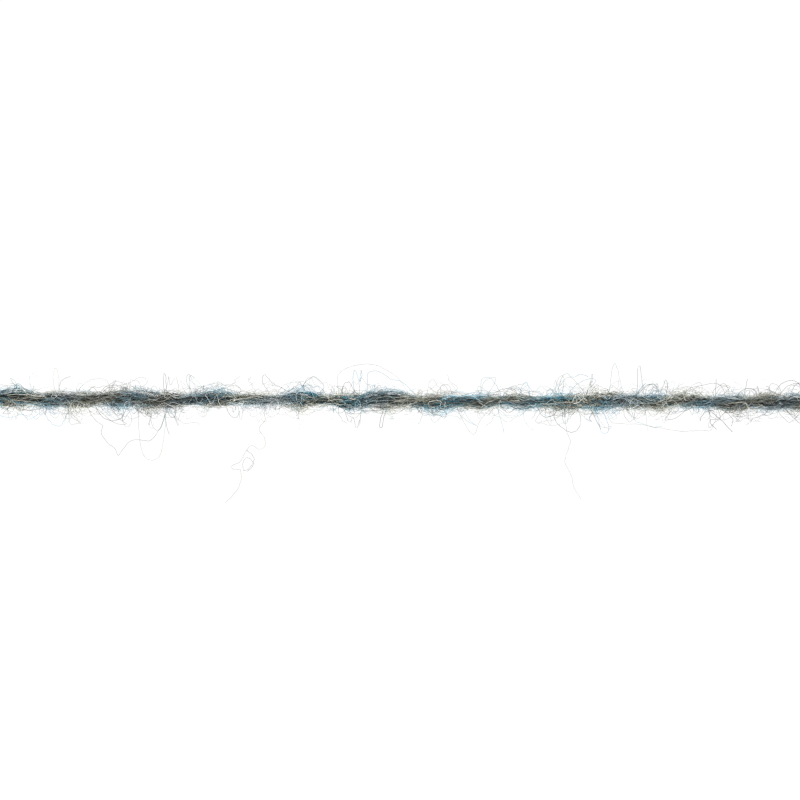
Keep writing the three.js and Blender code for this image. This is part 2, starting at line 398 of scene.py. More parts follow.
def crossing_paths(rng, ply, count):
    """Fibres that have worked loose from one single and lie over it, across the groove and on the other."""
    length = rng.uniform(CROSSING_SHORTEST, CROSSING_LONGEST, (count, 1))
    heading = rng.normal(CROSSING_HEADING, CROSSING_VARIES, (count, 1))
    ahead, aside = crimped(rng, length, CROSSING_STEPS, heading, CROSSING_SWING)
    middle = rng.uniform(-HALF_LONG, HALF_LONG, (count, 1))
    x = kept_within(middle + ahead - length / 2)
    around = ply_angle(middle, ply) + rng.normal(0, CROSSING_ROUND, (count, 1)) + aside / SINGLE_HALF_WIDE
    clear = rng.uniform(CROSSING_LOWEST, CROSSING_HIGHEST, (count, 1))
    clear = clear - CROSSING_DIPS * at_tips(CROSSING_STEPS, CROSSING_TIPS)
    clear = clear + wander(rng, count, CROSSING_STEPS, length[:, 0] / CRIMP_LONG, CROSSING_UNEVEN)
    reach = (skin_reach(x, around) + clear) * (1 - PRESSED_DOWN * np.cos(around) ** 2)
    return off_axis(x, around, reach)


def rooted(rng, ply, count):
    """Where loose fibres leave the strand: near their own single, and most where the halo is thick."""
    tries = ROOT_TRIES * count
    x = rng.uniform(-HALF_LONG, HALF_LONG, tries)
    around = ply_angle(x, ply) + rng.normal(0, ROOTS_ROUND, tries)
    around = around + PRESSED_OUT * np.sin(2 * around)
    above = np.interp(x, column(STRETCHES, "at"), column(STRETCHES, "above"))
    below = np.interp(x, column(STRETCHES, "at"), column(STRETCHES, "below"))
    chance = above * (1 + np.sin(around)) + below * (1 - np.sin(around))
    chosen = rng.choice(tries, count, replace=False, p=chance / chance.sum())
    return x[chosen, None], around[chosen, None]


def hairy_paths(rng, ply, shapes):
    """Fibres that stand off the strand. A shape is how far out, along and beside its root each step is."""
    out, along, beside = (np.concatenate(kind) for kind in zip(*shapes))
    root, around = rooted(rng, ply, len(out))
    x = kept_within(root + along)
    reach = skin_reach(x, around) + out
    return off_axis(x, around + beside / np.maximum(reach, SINGLE_HALF_WIDE), reach)


def random_tops(rng, count, height, least):
    """How far each fibre stands off the strand: most of them little, and a few of them far."""
    return np.minimum(rng.exponential(height, (count, 1)) + least, TALLEST)


# Skimming arcs: their lengths, their least height, and how far their ends drift sideways.
SKIM_SHORTEST = 0.8
SKIM_LONGEST = 2.6
SKIM_LEAST = 0.03
SKIM_DRIFT = 0.25


def skimming(rng, count, steps, height):
    """Long low arcs that lie along the strand, just off it."""
    share = np.linspace(0, 1, steps)
    span = rng.uniform(SKIM_SHORTEST, SKIM_LONGEST, (count, 1)) * rng.choice([-1, 1], (count, 1))
    top = rng.exponential(height, (count, 1)) + SKIM_LEAST
    out = top * np.sin(np.pi * share) - ROOT_DEPTH
    out = out + wander(rng, count, steps, waves=2.0, size=0.25 * top[:, 0])
    beside = wander(rng, count, steps, waves=1.2, size=0.16)
    beside = beside + rng.normal(0, SKIM_DRIFT, (count, 1)) * share
    along = span * (share - 0.5) + wander(rng, count, steps, waves=1.5, size=0.08)
    return out, along, beside


# Curls: their least height, their length against it, and how far they head aside, turn and swing, in radians.
CURL_LEAST = 0.04
CURL_SHORTEST = 1.5
CURL_LONGEST = 5
CURL_ASIDE = 1.3
CURL_TURN = 2
CURL_SWING = 1.0


def curling(rng, count, steps, height):
    """Short fibres that curl as they leave the strand, some of them right round."""
    share = np.linspace(0, 1, steps)
    top = random_tops(rng, count, height, CURL_LEAST)
    length = top * rng.uniform(CURL_SHORTEST, CURL_LONGEST, (count, 1))
    aside = rng.uniform(-CURL_ASIDE, CURL_ASIDE, (count, 1))
    heading = aside + rng.normal(0, CURL_TURN, (count, 1)) * share
    out, along = crimped(rng, length, steps, heading, CURL_SWING)
    out = out * np.minimum(1, top / np.maximum(out.max(axis=1, keepdims=True), TINY)) - ROOT_DEPTH
    beside = wander(rng, count, steps, waves=1.2, size=0.3 * top[:, 0])
    return out, along, beside


# Loops and loose ends have the same least height. Loops: how wide they are for their room, which grows with
# their height, how far apart their feet are and how far they lean, both against their height, and how round
# their tops are.
LOOSE_LEAST = 0.06
LOOP_NARROWEST = 0.35
LOOP_WIDEST = 1.0
LOOP_WIDENS = 0.35
LOOP_SPREADS = 0.5
LOOP_LEANS = 0.45
LOOP_ROUND = 1.2


def looping(rng, count, steps, height, wide):
    """Loops: out and back to nearly the same root, rounded or crossing over themselves."""
    share = np.linspace(0, 1, steps)
    top = random_tops(rng, count, height, LOOSE_LEAST)
    width = rng.uniform(LOOP_NARROWEST, LOOP_WIDEST, (count, 1)) * (wide + LOOP_WIDENS * top)
    span = rng.normal(0, 1, (count, 1)) * (wide + LOOP_SPREADS * top)
    lean = rng.normal(0, LOOP_LEANS, (count, 1)) * top
    rise = np.sin(np.pi * share) ** LOOP_ROUND
    out = top * rise - ROOT_DEPTH + wander(rng, count, steps, waves=1.4, size=0.1 * top[:, 0])
    along = span * (share - 0.5) - width * np.sin(2 * np.pi * share) / 2 + lean * rise
    along = along + wander(rng, count, steps, waves=1.4, size=0.12 * top[:, 0])
    beside = wander(rng, count, steps, waves=1.0, size=0.15 * top[:, 0] + 0.03)
    return out, along, beside


# Loose ends: how far they curl, in half turns, how far they head aside, in radians, and how long they are
# against their height.
END_LEAST_CURL = 0.2
END_MOST_CURL = 1.1
END_ASIDE = 0.5
END_LONG = 1.5


def loose_ending(rng, count, steps, height):
    """Ends: one root, and a free tip that has crimped and curled its own way."""
    share = np.linspace(0, 1, steps)
    top = random_tops(rng, count, height, LOOSE_LEAST)
    curl = rng.uniform(END_LEAST_CURL, END_MOST_CURL, (count, 1)) * np.pi
    turned = curl * share + rng.uniform(-END_ASIDE, END_ASIDE, (count, 1))
    long = np.minimum(END_LONG * top, TALLEST)
    out = long * np.cumsum(np.cos(turned), axis=1) / steps - ROOT_DEPTH
    side = rng.choice([-1, 1], (count, 1))
    along = side * long * np.cumsum(np.sin(turned), axis=1) / steps
    along = along + wander(rng, count, steps, waves=1.6, size=0.1 * top[:, 0]) * share
    beside = wander(rng, count, steps, waves=1.0, size=0.15 * top[:, 0] + 0.03) * share
    return out, along, beside


def over_surface(paths, radii):
    """Fibres that would sink into the surface lie on it instead."""
    lowest = radii[:, None] + OVER_SURFACE
    paths[..., 2] = np.maximum(paths[..., 2], lowest)
    return paths


def loft_of(paths):
    """How far out each point of a path is: 0 on the strand's axis, and 1 on its skin. What stands right over
    the strand counts as near its skin, as the strand keeps the light off the surface from it. The wool's
    painted shade and light are set by this loft."""
    x, y, z = np.moveaxis(paths, -1, 0)
    beside = y - sway_at(x)
    above = z - axis_height(x)
    reach = np.hypot(beside, above)
    out = reach / skin_reach(x, np.arctan2(beside, above))
    over = np.clip(above / reach, 0, 1) ** 2
    return out - SHADED * over * np.maximum(out - 1, 0)


def unit(vectors):
    return vectors / np.maximum(np.linalg.norm(vectors, axis=-1, keepdims=True), TINY)


# A direction that no fibre sets out in.
OFF_EVERY_FIBRE = (0.36, 0.48, 0.8)


def fibre_rings(paths, radii):
    """The corners of every fibre's sections, carried along its path without twisting."""
    count, steps = paths.shape[:2]
    tangents = unit(np.gradient(paths, axis=1))
    across = unit(np.cross(tangents[:, 0], OFF_EVERY_FIBRE))
    angles = 2 * np.pi * np.arange(FIBRE_SIDES) / FIBRE_SIDES
    rings = np.empty((count, steps - 2, FIBRE_SIDES, 3))
    for step in range(1, steps - 1):
        tangent = tangents[:, step]
        across = unit(across - tangent * np.sum(across * tangent, axis=1, keepdims=True))
        beside = np.cross(tangent, across)
        for side, angle in enumerate(angles):
            corner = math.cos(angle) * across + math.sin(angle) * beside
            rings[:, step - 1, side] = paths[:, step] + radii[:, None] * corner
    return rings


def fibre_corners(steps):
    """Faces of one fibre as (step, side) corners: triangles at the pointed ends and squares between."""
    triangles = []
    squares = []
    for side in range(FIBRE_SIDES):
        middle = side + 0.5
        triangles.append([(0, middle), (1, side + 1), (1, side)])
        triangles.append([(steps - 1, middle), (steps - 2, side), (steps - 2, side + 1)])
    for step in range(1, steps - 2):
        for side in range(FIBRE_SIDES):
            squares.append([(step, side), (step, side + 1), (step + 1, side + 1), (step + 1, side)])
    return triangles, squares


def fibre_vertex(step, side, steps):
    """The number of a corner's vertex within its fibre. The two points are the first and the last."""
    if step == 0:
        return 0
    if step == steps - 1:
        return FIBRE_SIDES * (steps - 2) + 1
    return 1 + (step - 1) * FIBRE_SIDES + int(side) % FIBRE_SIDES


def add_map(mesh, name, across, up):
    """A UV map of where each corner of each fibre lies, across and up."""
    places = np.stack(np.broadcast_arrays(across, up), axis=-1)
    mesh.uv_layers.new(name=name).uv.foreach_set("vector", places.astype(np.float32).ravel())


def fibre_mesh(name, paths, radii):
    """One mesh of all the fibres, with maps of fibre numbers, of loft, and with a cell for each fibre."""
    count, steps = paths.shape[:2]
    rings = fibre_rings(paths, radii).reshape(count, -1, 3)
    vertices = np.concatenate([paths[:, :1], rings, paths[:, -1:]], axis=1)
    triangles, squares = fibre_corners(steps)
    corners = [corner for face in triangles + squares for corner in face]
    one = np.array([fibre_vertex(step, side, steps) for step, side in corners])
    number = np.arange(count)[:, None]
    loops = (one + vertices.shape[1] * number).ravel()
    face_sizes = [3] * len(triangles) + [4] * len(squares)
    starts = np.concatenate([[0], np.cumsum(face_sizes)[:-1]])
    starts = (starts + len(corners) * number).ravel()

    mesh = bpy.data.meshes.new(name)
    mesh.vertices.add(vertices.size // 3)
    mesh.vertices.foreach_set("co", (vertices * MM).astype(np.float32).ravel())
    mesh.loops.add(len(loops))
    mesh.loops.foreach_set("vertex_index", loops.astype(np.int32))
    mesh.polygons.add(len(starts))
    mesh.polygons.foreach_set("loop_start", starts.astype(np.int32))
    mesh.update(calc_edges=True)
    mesh.shade_smooth()

    step_of = np.array([step for step, side in corners])
    along = step_of / (steps - 1)
    around = np.array([side / FIBRE_SIDES for step, side in corners])
    margin = (1 - CELL_USED) / 2
    columns = math.ceil(math.sqrt(count))
    cell_across = number % columns + (along * CELL_USED + margin)
    cell_up = number // columns + (around * CELL_USED + margin)
    add_map(mesh, "fibre", number + 0.5, along)
    add_map(mesh, "loft", loft_of(paths)[:, step_of], along)
    add_map(mesh, "OFBake", cell_across / columns, cell_up / columns)
    return mesh


def add_fibres(name, paths, radii, material):
    paths = over_surface(paths, radii)
    piece = bpy.data.objects.new(name, fibre_mesh(name, paths, radii))
    bpy.context.scene.collection.objects.link(piece)
    piece.data.materials.append(material)
    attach(piece, "root")


def uneven_radii(rng, count, thick):
    return thick / MM / 2 * rng.uniform(THINNEST, THICKEST, count)


# The sRGB curve: a straight foot, and a power above it.
FOOT_TOP = 0.04045
FOOT_SLOPE = 12.92
CURVE_OFFSET = 0.055
CURVE_POWER = 2.4


def linear(red, green, blue):
    """A colour read off a screen, 0 to 255, as the linear values that Blender keeps."""
    linears = []
    for value in (red, green, blue):
        share = value / 255
        curved = ((share + CURVE_OFFSET) / (1 + CURVE_OFFSET)) ** CURVE_POWER
        linears.append(share / FOOT_SLOPE if share <= FOOT_TOP else curved)
    return linears


def colour_prop(name, description, screen):
    return bpy.props.FloatVectorProperty(
        name=name, description=description, default=linear(*screen), subtype="COLOR", min=0, max=1
    )


def length_prop(name, description, default):
    return bpy.props.FloatProperty(
        name=name, description=description, default=default, unit="LENGTH", precision=6, min=0
    )


def share_prop(name, description, default):
    return bpy.props.FloatProperty(name=name, description=description, default=default, min=0, max=1)


def count_prop(name, description, default):
    return bpy.props.IntProperty(name=name, description=description, default=default, min=1)


class YarnSizes(bpy.types.PropertyGroup):
    """Sizes of the fibres and how many there are."""

    seed: count_prop("Seed", "Another number lays every fibre another way", 11)
    inner_thick: length_prop("Inner fibre thickness", "Fibres in the body of the strand", 0.000020)
    lofted_thick: length_prop("Lofted fibre thickness", "Fibres round the body", 0.000012)
    crossing_thick: length_prop("Crossing fibre thickness", "Loose fibres on the strand", 0.000018)
    fuzz_thick: length_prop("Fuzz thickness", "Short fibres round the strand", 0.000015)
    loop_thick: length_prop("Loop thickness", "Long loops and ends of the halo", 0.000018)
    brush_long: length_prop("Cut end brush", "How far fibres stand out of a cut end", 0.00035)
    fuzz_high: length_prop("Fuzz height", "Mean height of the fuzz over the strand", 0.00021)
    loop_high: length_prop("Loop height", "Mean height of the halo's loops", 0.00034)
    own_twist: share_prop("Own twist", "A single's twist against the ply twist", 1.0)
    blended: share_prop("Blended", "Share of each colour that is spun into the other single", 0.18)
    inner_fibres: count_prop("Inner fibres", "Of each colour, close together in the single", 290)
    lofted_blue: count_prop("Blue lofted fibres", "Loose round the blue single", 570)
    lofted_taupe: count_prop("Taupe lofted fibres", "Loose round the taupe single", 430)
    crossing_fibres: count_prop("Crossing fibres", "Of each colour", 160)
    fuzz_fibres: count_prop("Fuzz fibres", "Of each colour", 1450)
    halo_fibres: count_prop("Halo fibres", "Of each colour, as loops and loose ends", 240)


class YarnColours(bpy.types.PropertyGroup):
    """Wool colours, and the share of the fibres that each takes."""

    blue_main: colour_prop("Slate", "Most of the blue single", (63, 105, 116))
    blue_deep: colour_prop("Charcoal", "Dark fibres in the blue single", (28, 43, 47))
    blue_accent: colour_prop("Azure", "Bright fibres in the blue single", (61, 116, 135))
    blue_pale: colour_prop("Pale blue grey", "Light fibres in the blue single", (156, 176, 182))
    taupe_main: colour_prop("Taupe", "Most of the taupe single", (108, 109, 97))
    taupe_deep: colour_prop("Dark brown", "Dark fibres in the taupe single", (41, 41, 35))
    taupe_accent: colour_prop("Grey", "Grey fibres in the taupe single", (142, 143, 136))
    taupe_pale: colour_prop("Cream", "Light fibres in the taupe single", (182, 181, 172))
    # Painted shade: the core's dark colour stands for the shade deep inside the strand, seen between the
    # fibres.
    core: colour_prop("Core", "Deep in the strand", (30, 35, 35))
    deep_share: share_prop("Dark share", "Share of dark fibres", 0.28)
    accent_share: share_prop("Second colour share", "Share of the second colour", 0.3)
    pale_share: share_prop("Light share", "Share of light fibres", 0.08)


class YarnStage(bpy.types.PropertyGroup):
    """Floor, light and camera."""

    view_wide: length_prop("View width", "What the camera takes in across the picture", 0.04)
    floor_wide: length_prop("Floor width", "Side of the square floor", 2.0)
    lens: bpy.props.FloatProperty(name="Lens", description="Focal length", default=100, unit="CAMERA")
    roll: bpy.props.FloatProperty(
        name="Roll", description="Turn of the camera about its line of sight",
        default=math.radians(0.3), unit="ROTATION"
    )
    daylight: share_prop("Daylight", "Strength of the light from all round", 0.9)
    softbox_power: bpy.props.FloatProperty(
        name="Softbox power", description="Power of each of the two softboxes", default=0.7, unit="POWER"
    )


def sizes():
    return bpy.context.scene.yarn_sizes


def colours():
    return bpy.context.scene.yarn_colours


def randoms(piece_number):
    """Random numbers of a piece's own, so that one piece's fibres don't move when another's change."""
    return np.random.default_rng([sizes().seed, piece_number])


def add_node(tree, kind, **settings):
    node = tree.nodes.new(kind)
    for name, value in settings.items():
        setattr(node, name, value)
    return node


def feed(tree, socket, source):
    """Links a socket to another node's output, or sets it to a value."""
    if isinstance(source, bpy.types.NodeSocket):
        tree.links.new(source, socket)
    else:
        socket.default_value = source


def feed_all(tree, node, **sources):
    """Feeds a node's inputs. A name's underscores stand for the spaces in the socket's name."""
    for name, source in sources.items():
        feed(tree, node.inputs[name.replace("_", " ")], source)


def math_node(tree, operation, *sources):
    node = add_node(tree, "ShaderNodeMath", operation=operation)
    for socket, source in zip(node.inputs, sources):
        feed(tree, socket, source)
    return node.outputs[0]


def product(tree, first, *others):
    """A node for each factor after the first, one behind the other."""
    for other in others:
        first = math_node(tree, "MULTIPLY", first, other)
    return first


def x_of(tree, vector):
    node = add_node(tree, "ShaderNodeSeparateXYZ")
    feed(tree, node.inputs[0], vector)
    return node.outputs["X"]


def mix_colour(tree, share, first, second):
    node = add_node(tree, "ShaderNodeMix", data_type="RGBA")
    feed_all(tree, node, Factor=share, A=first, B=second)
    return node.outputs["Result"]


def map_range(tree, value, between, onto):
    """A value stretched from one range onto another, and kept within it."""
    node = add_node(tree, "ShaderNodeMapRange")
    feed_all(
        tree, node, Value=value, From_Min=between[0], From_Max=between[1], To_Min=onto[0], To_Max=onto[1]
    )
    return node.outputs["Result"]


def noise(tree, place, grain, detail, **settings):
    """Noise whose grain is how many times finer than the place's own unit it is, each way."""
    drawn_out = add_node(tree, "ShaderNodeVectorMath", operation="MULTIPLY")
    feed(tree, drawn_out.inputs[0], place)
    feed(tree, drawn_out.inputs[1], grain)
    texture = add_node(tree, "ShaderNodeTexNoise", **settings)
    feed_all(tree, texture, Vector=drawn_out.outputs[0], Scale=1.0, Detail=detail)
    return texture.outputs["Fac"]


def bumped(tree, height, strength, distance):
    bump = add_node(tree, "ShaderNodeBump")
    feed_all(tree, bump, Strength=strength, Distance=distance, Height=height)
    return bump.outputs["Normal"]


def new_group(name, inputs, outputs):
    """A shader node group with its sockets, and its input and output nodes."""
    group = bpy.data.node_groups.new(name, "ShaderNodeTree")
    for label, kind in inputs:
        group.interface.new_socket(label, in_out="INPUT", socket_type=kind)
    for label, kind in outputs:
        group.interface.new_socket(label, in_out="OUTPUT", socket_type=kind)
    return group, group.nodes.new("NodeGroupInput"), group.nodes.new("NodeGroupOutput")


def shared_group(name, build):
    """A node group that several materials use, built when the first of them asks for it."""
    return bpy.data.node_groups.get(name) or build(name)


def ramp_through(group, value, places, heights):
    """A ramp as high at each of its places as asked. Its colours hold shares of its highest value."""
    ramp = add_node(group, "ShaderNodeValToRGB")
    feed(group, ramp.inputs["Fac"], map_range(group, value, (places[0], places[-1]), (0, 1)))
    stops = ramp.color_ramp.elements
    for place in places[1:-1]:
        stops.new((place - places[0]) / (places[-1] - places[0]))
    highest = max(heights)
    for stop, height in zip(stops, heights):
        grey = height / highest
        stop.color = (grey, grey, grey, 1)
    return math_node(group, "MULTIPLY", ramp.outputs["Color"], highest)


def heather_drift_group(name):
    """Values that drift along the strand: how blue the blue wool is, and how light each wool is."""
    drifts = ("Blueness", "Blue", "Taupe")
    group, given, result = new_group(
        name, [("Place", "NodeSocketVector")], [(drift, "NodeSocketFloat") for drift in drifts]
    )
    along = x_of(group, given.outputs["Place"])
    places = [row.at * MM for row in STRETCHES]
    for drift in drifts:
        heights = column(STRETCHES, drift.lower())
        feed(group, result.inputs[drift], ramp_through(group, along, places, heights))
    return group


# Grain of the tones that bundles of fibres share, along and across the strand, and of the scales on a fibre,
# from one fibre to the next and along it. The values that the noise mostly lies between are stretched onto
# tones and roughness. FIBRE_TONES is how much one fibre differs from another.
BUNDLE_GRAIN = (500, 9000, 9000)
BUNDLE_NOISE = (0.35, 0.65)
BUNDLE_TONES = (0.65, 1.35)
SCALE_GRAIN = (7.3, 60, 1)
SCALE_NOISE = (0.3, 0.7)
SCALE_TONES = (0.86, 1.14)
SCALE_ROUGHNESS = (0.5, 0.72)
FIBRE_TONES = (0.84, 1.18)
WOOL_DETAIL = 2.0


def heathered_wool_group(name):
    """Each fibre takes one of four colours and a tone of its own. Bundles are lighter or darker together,
    fibres are painted darker deep in the strand and lighter farther out, as painted shade and light, and each
    is scaly along its length."""
    colour, number, place = "NodeSocketColor", "NodeSocketFloat", "NodeSocketVector"
    group, given, result = new_group(
        name,
        [
            ("Fibre", place), ("Place", place), ("Loft", number), ("Main", colour), ("Deep", colour),
            ("Accent", colour), ("Pale", colour), ("Deep Share", number), ("Accent Share", number),
            ("Pale Share", number), ("Saturation", number), ("Lightness", number),
        ],
        [("Color", colour), ("Roughness", number), ("Height", number)],
    )
    source = given.outputs
    chance = add_node(group, "ShaderNodeTexWhiteNoise", noise_dimensions="1D")
    feed(group, chance.inputs["W"], math_node(group, "FLOOR", x_of(group, source["Fibre"])))
    chances = add_node(group, "ShaderNodeSeparateColor")
    feed(group, chances.inputs[0], chance.outputs["Color"])
    first, second, third = chances.outputs

    is_accent = math_node(group, "LESS_THAN", second, source["Accent Share"])
    is_deep = math_node(group, "LESS_THAN", first, source["Deep Share"])
    is_pale = math_node(group, "GREATER_THAN", first, math_node(group, "SUBTRACT", 1.0, source["Pale Share"]))
    picked = mix_colour(group, is_accent, source["Main"], source["Accent"])
    picked = mix_colour(group, is_deep, picked, source["Deep"])
    picked = mix_colour(group, is_pale, picked, source["Pale"])

    bundles = noise(group, source["Place"], BUNDLE_GRAIN, WOOL_DETAIL)
    scales = noise(group, source["Fibre"], SCALE_GRAIN, WOOL_DETAIL, noise_dimensions="2D")
    outs = column(LOFT_SHADING, "out")
    # The tone is the fibre's own, scale and bundle tones, times the painted shade and light by loft, times
    # the wool's lightness along the strand.
    tone = product(
        group,
        map_range(group, third, (0, 1), FIBRE_TONES),
        map_range(group, scales, SCALE_NOISE, SCALE_TONES),
        map_range(group, bundles, BUNDLE_NOISE, BUNDLE_TONES),
        ramp_through(group, source["Loft"], outs, column(LOFT_SHADING, "tone")),
        source["Lightness"],
    )
    tone = math_node(group, "MINIMUM", tone, LIGHTEST)
    # Painted light: the colour is painted strongest near the strand's skin and paler far out, times the
    # wool's own blueness.
    own_and_painted_saturation = ramp_through(group, source["Loft"], outs, column(LOFT_SHADING, "saturation"))
    own_and_painted_saturation = product(group, own_and_painted_saturation, source["Saturation"])
    toned = add_node(group, "ShaderNodeHueSaturation")
    feed_all(group, toned, Saturation=own_and_painted_saturation, Value=tone, Color=picked)
    rough = map_range(group, scales, SCALE_NOISE, SCALE_ROUGHNESS)
    feed_all(group, result, Color=toned.outputs["Color"], Roughness=rough, Height=scales)
    return group


WOOL_IOR = 1.45
WOOL_SPECULAR = 0.35
SCALE_BUMP = 0.35
SCALE_HIGH = 0.000004


def new_material(name):
    """A material and its Principled shader, with wool's low gloss."""
    material = bpy.data.materials.new(name)
    material.use_nodes = True
    shader = material.node_tree.nodes["Principled BSDF"]
    shader.inputs["IOR"].default_value = WOOL_IOR
    shader.inputs["Specular IOR Level"].default_value = WOOL_SPECULAR
    return material, shader


def add_group(tree, name, build):
    """A shared node group, placed in a material."""
    return add_node(tree, "ShaderNodeGroup", node_tree=shared_group(name, build))


def drift_at(tree, place):
    """What the heather's drift puts out at a place on the strand."""
    drift = add_group(tree, "Heather drift", heather_drift_group)
    feed(tree, drift.inputs["Place"], place)
    return drift.outputs


# A wool: its main, deep, accent and pale colour, the shares of its fibres that the last three take, the
# single whose lightness it drifts with, and whether it takes the painted shade and light by loft, darker
# deep in the strand and lighter farther out.
Shares = namedtuple("Shares", "deep accent pale")
Wool = namedtuple("Wool", "colours shares drifts_with lofts", defaults=[True])


def wools():
    given = colours()
    blue = [given.blue_main, given.blue_deep, given.blue_accent, given.blue_pale]
    taupe = [given.taupe_main, given.taupe_deep, given.taupe_accent, given.taupe_pale]
    dark = [given.blue_deep, given.taupe_deep, given.taupe_main, given.blue_main]
    bright_blue = [given.blue_main, given.blue_accent, given.blue_deep, given.blue_pale]
    cream = [given.taupe_pale, given.taupe_accent, given.taupe_pale, given.blue_pale]
    spun = Shares(given.deep_share, given.accent_share, given.pale_share)
    loose = Shares(0.28, 0.35, 0.06)
    return {
        "Blue wool": Wool(blue, spun, "Blue"),
        "Taupe wool": Wool(taupe, spun, "Taupe"),
        "Blue loose wool": Wool(blue, loose, "Blue"),
        "Taupe loose wool": Wool(taupe, loose, "Taupe"),
        "Blue halo wool": Wool(blue, Shares(0.08, 0.35, 0.15), "Blue"),
        "Taupe halo wool": Wool(taupe, Shares(0.1, 0.3, 0.15), "Taupe"),
        "Dark stray wool": Wool(dark, Shares(0.4, 0.2, 0.1), "Taupe", lofts=False),
        "Blue stray wool": Wool(bright_blue, Shares(0.3, 0.15, 0.1), "Taupe", lofts=False),
        "Brown stray wool": Wool(taupe, Shares(0.25, 0.2, 0.1), "Taupe", lofts=False),
        "Cream stray wool": Wool(cream, Shares(0.2, 0.2, 0.1), "Taupe", lofts=False),
    }


def wool_material(name):
    """One wool's material. Only wool that drifts with the blue single is more or less blue along it."""
    given = wools()[name]
    material, shader = new_material(name)
    tree = material.node_tree
    place = add_node(tree, "ShaderNodeTexCoord").outputs["Object"]
    drift = drift_at(tree, place)
    wool = add_group(tree, "Heathered wool", heathered_wool_group)
    fibres = add_node(tree, "ShaderNodeUVMap", uv_map="fibre").outputs["UV"]
    main, deep, accent, pale = [(*colour, 1) for colour in given.colours]
    feed_all(tree, wool, Main=main, Deep=deep, Accent=accent, Pale=pale)
    feed_all(
        tree, wool, Deep_Share=given.shares.deep, Accent_Share=given.shares.accent,
        Pale_Share=given.shares.pale
    )
    blueness = drift["Blueness"] if given.drifts_with == "Blue" else 1
    # Wool without the painted shade and light by loft is painted as at the strand's skin.
    loft = 1
    if given.lofts:
        loft = x_of(tree, add_node(tree, "ShaderNodeUVMap", uv_map="loft").outputs["UV"])
    feed_all(
        tree, wool, Fibre=fibres, Place=place, Loft=loft, Saturation=blueness,
        Lightness=drift[given.drifts_with]
    )
    feed_all(
        tree, shader, Base_Color=wool.outputs["Color"], Roughness=wool.outputs["Roughness"],
        Normal=bumped(tree, wool.outputs["Height"], SCALE_BUMP, SCALE_HIGH)
    )
    return material


def wool_named(name):
    """A wool's material, made when the first piece asks for it."""
    return bpy.data.materials.get(name) or wool_material(name)


def add_for_each_single(kind, first_number, paths_of, thick, wool):
    """A piece of fibres for each single. paths_of makes its paths, from random numbers and the ply."""
    for ply, colour in enumerate(SINGLES):
        rng = randoms(first_number + ply)
        paths = paths_of(rng, ply)
        radii = uneven_radii(rng, len(paths), thick)
        material = wool_named(f"{colour.title()} {wool}")
        add_fibres(f"{colour}_{kind}", paths, radii, material)


# The core's rings and sides, its size against the strand's, the ridges along it, the rows of its bake map,
# the margin in each row, and where the faces of its two ends lie in that map.
CORE_STEPS = 440
CORE_SIDES = 20
CORE_SHARE = 0.46
RIDGE_WAVES = 40
RIDGE_HIGH = 0.08
CORE_ROWS = 4
ROW_MARGIN = 0.04
END_CORNERS = [(0.001, 0.001), (0.002, 0.001), (0.001, 0.002)]


def core_points(rng):
    """Rings of the core's skin, a little inside the spun fibres and ridged along them."""
    x = np.linspace(-HALF_LONG, HALF_LONG, CORE_STEPS + 1)[:, None]
    around = ply_angle(x, BLUE_PLY) + 2 * np.pi * np.arange(CORE_SIDES) / CORE_SIDES
    ridges = wander(rng, CORE_SIDES, CORE_STEPS + 1, RIDGE_WAVES, RIDGE_HIGH).T
    reach = skin_reach(x, around) * (CORE_SHARE + ridges)
    points = off_axis(np.broadcast_to(x, around.shape), around, reach)
    points[..., 2] = np.maximum(points[..., 2], OVER_SURFACE)
    return points


def core_mesh(name, points):
    """A closed tube. Its bake map folds the length into rows, one above the other."""
    rings, sides = points.shape[:2]
    middles = points[[0, -1]].mean(axis=1)
    vertices = np.concatenate([points.reshape(-1, 3), middles]) * MM
    faces = []
    uvs = []
    a_row = CORE_STEPS // CORE_ROWS
    row_used = 1 - 2 * ROW_MARGIN
    for ring in range(rings - 1):
        row = ring // a_row
        left = (ring - row * a_row) / a_row
        right = (ring + 1 - row * a_row) / a_row
        here, there = ring * sides, (ring + 1) * sides
        for side in range(sides):
            after = (side + 1) % sides
            low = (row + ROW_MARGIN + row_used * side / sides) / CORE_ROWS
            high = (row + ROW_MARGIN + row_used * (side + 1) / sides) / CORE_ROWS
            faces.append((here + side, there + side, there + after, here + after))
            uvs += [(left, low), (right, low), (right, high), (left, high)]
    for ring, middle, turn in ((0, rings * sides, 1), (rings - 1, rings * sides + 1, -1)):
        for side in range(sides):
            pair = (ring * sides + side, ring * sides + (side + 1) % sides)[::turn]
            faces.append((middle, *pair))
            uvs += END_CORNERS
    mesh = bpy.data.meshes.new(name)
    mesh.from_pydata(vertices.tolist(), [], faces)
    mesh.shade_smooth()
    mesh.uv_layers.new(name="OFBake").uv.foreach_set("vector", np.array(uvs, np.float32).ravel())
    return mesh


CORE_GRAIN = (900, 14000, 14000)
CORE_DETAIL = 3.0
CORE_NOISE = (0.35, 0.65)
CORE_TONES = (0.6, 1.5)
CORE_ROUGH_NOISE = (0.3, 0.7)
CORE_ROUGHNESS = (0.7, 0.9)
CORE_BUMP = 0.8
CORE_STREAK_HIGH = 0.00002


def core_material():
    """Painted shade seen between the fibres: the strand's shaded inside as a dark colour, with streaks along
    the strand, over the heather's drift.
    """
    material, shader = new_material("Core wool")
    tree = material.node_tree
    place = add_node(tree, "ShaderNodeTexCoord").outputs["Object"]
    streaks = noise(tree, place, CORE_GRAIN, CORE_DETAIL)
    tone = product(tree, map_range(tree, streaks, CORE_NOISE, CORE_TONES), drift_at(tree, place)["Blue"])
    toned = add_node(tree, "ShaderNodeHueSaturation")
    feed_all(tree, toned, Value=tone, Color=(*colours().core, 1))
    feed_all(
        tree, shader, Base_Color=toned.outputs["Color"],
        Roughness=map_range(tree, streaks, CORE_ROUGH_NOISE, CORE_ROUGHNESS),
        Normal=bumped(tree, streaks, CORE_BUMP, CORE_STREAK_HIGH)
    )
    return material
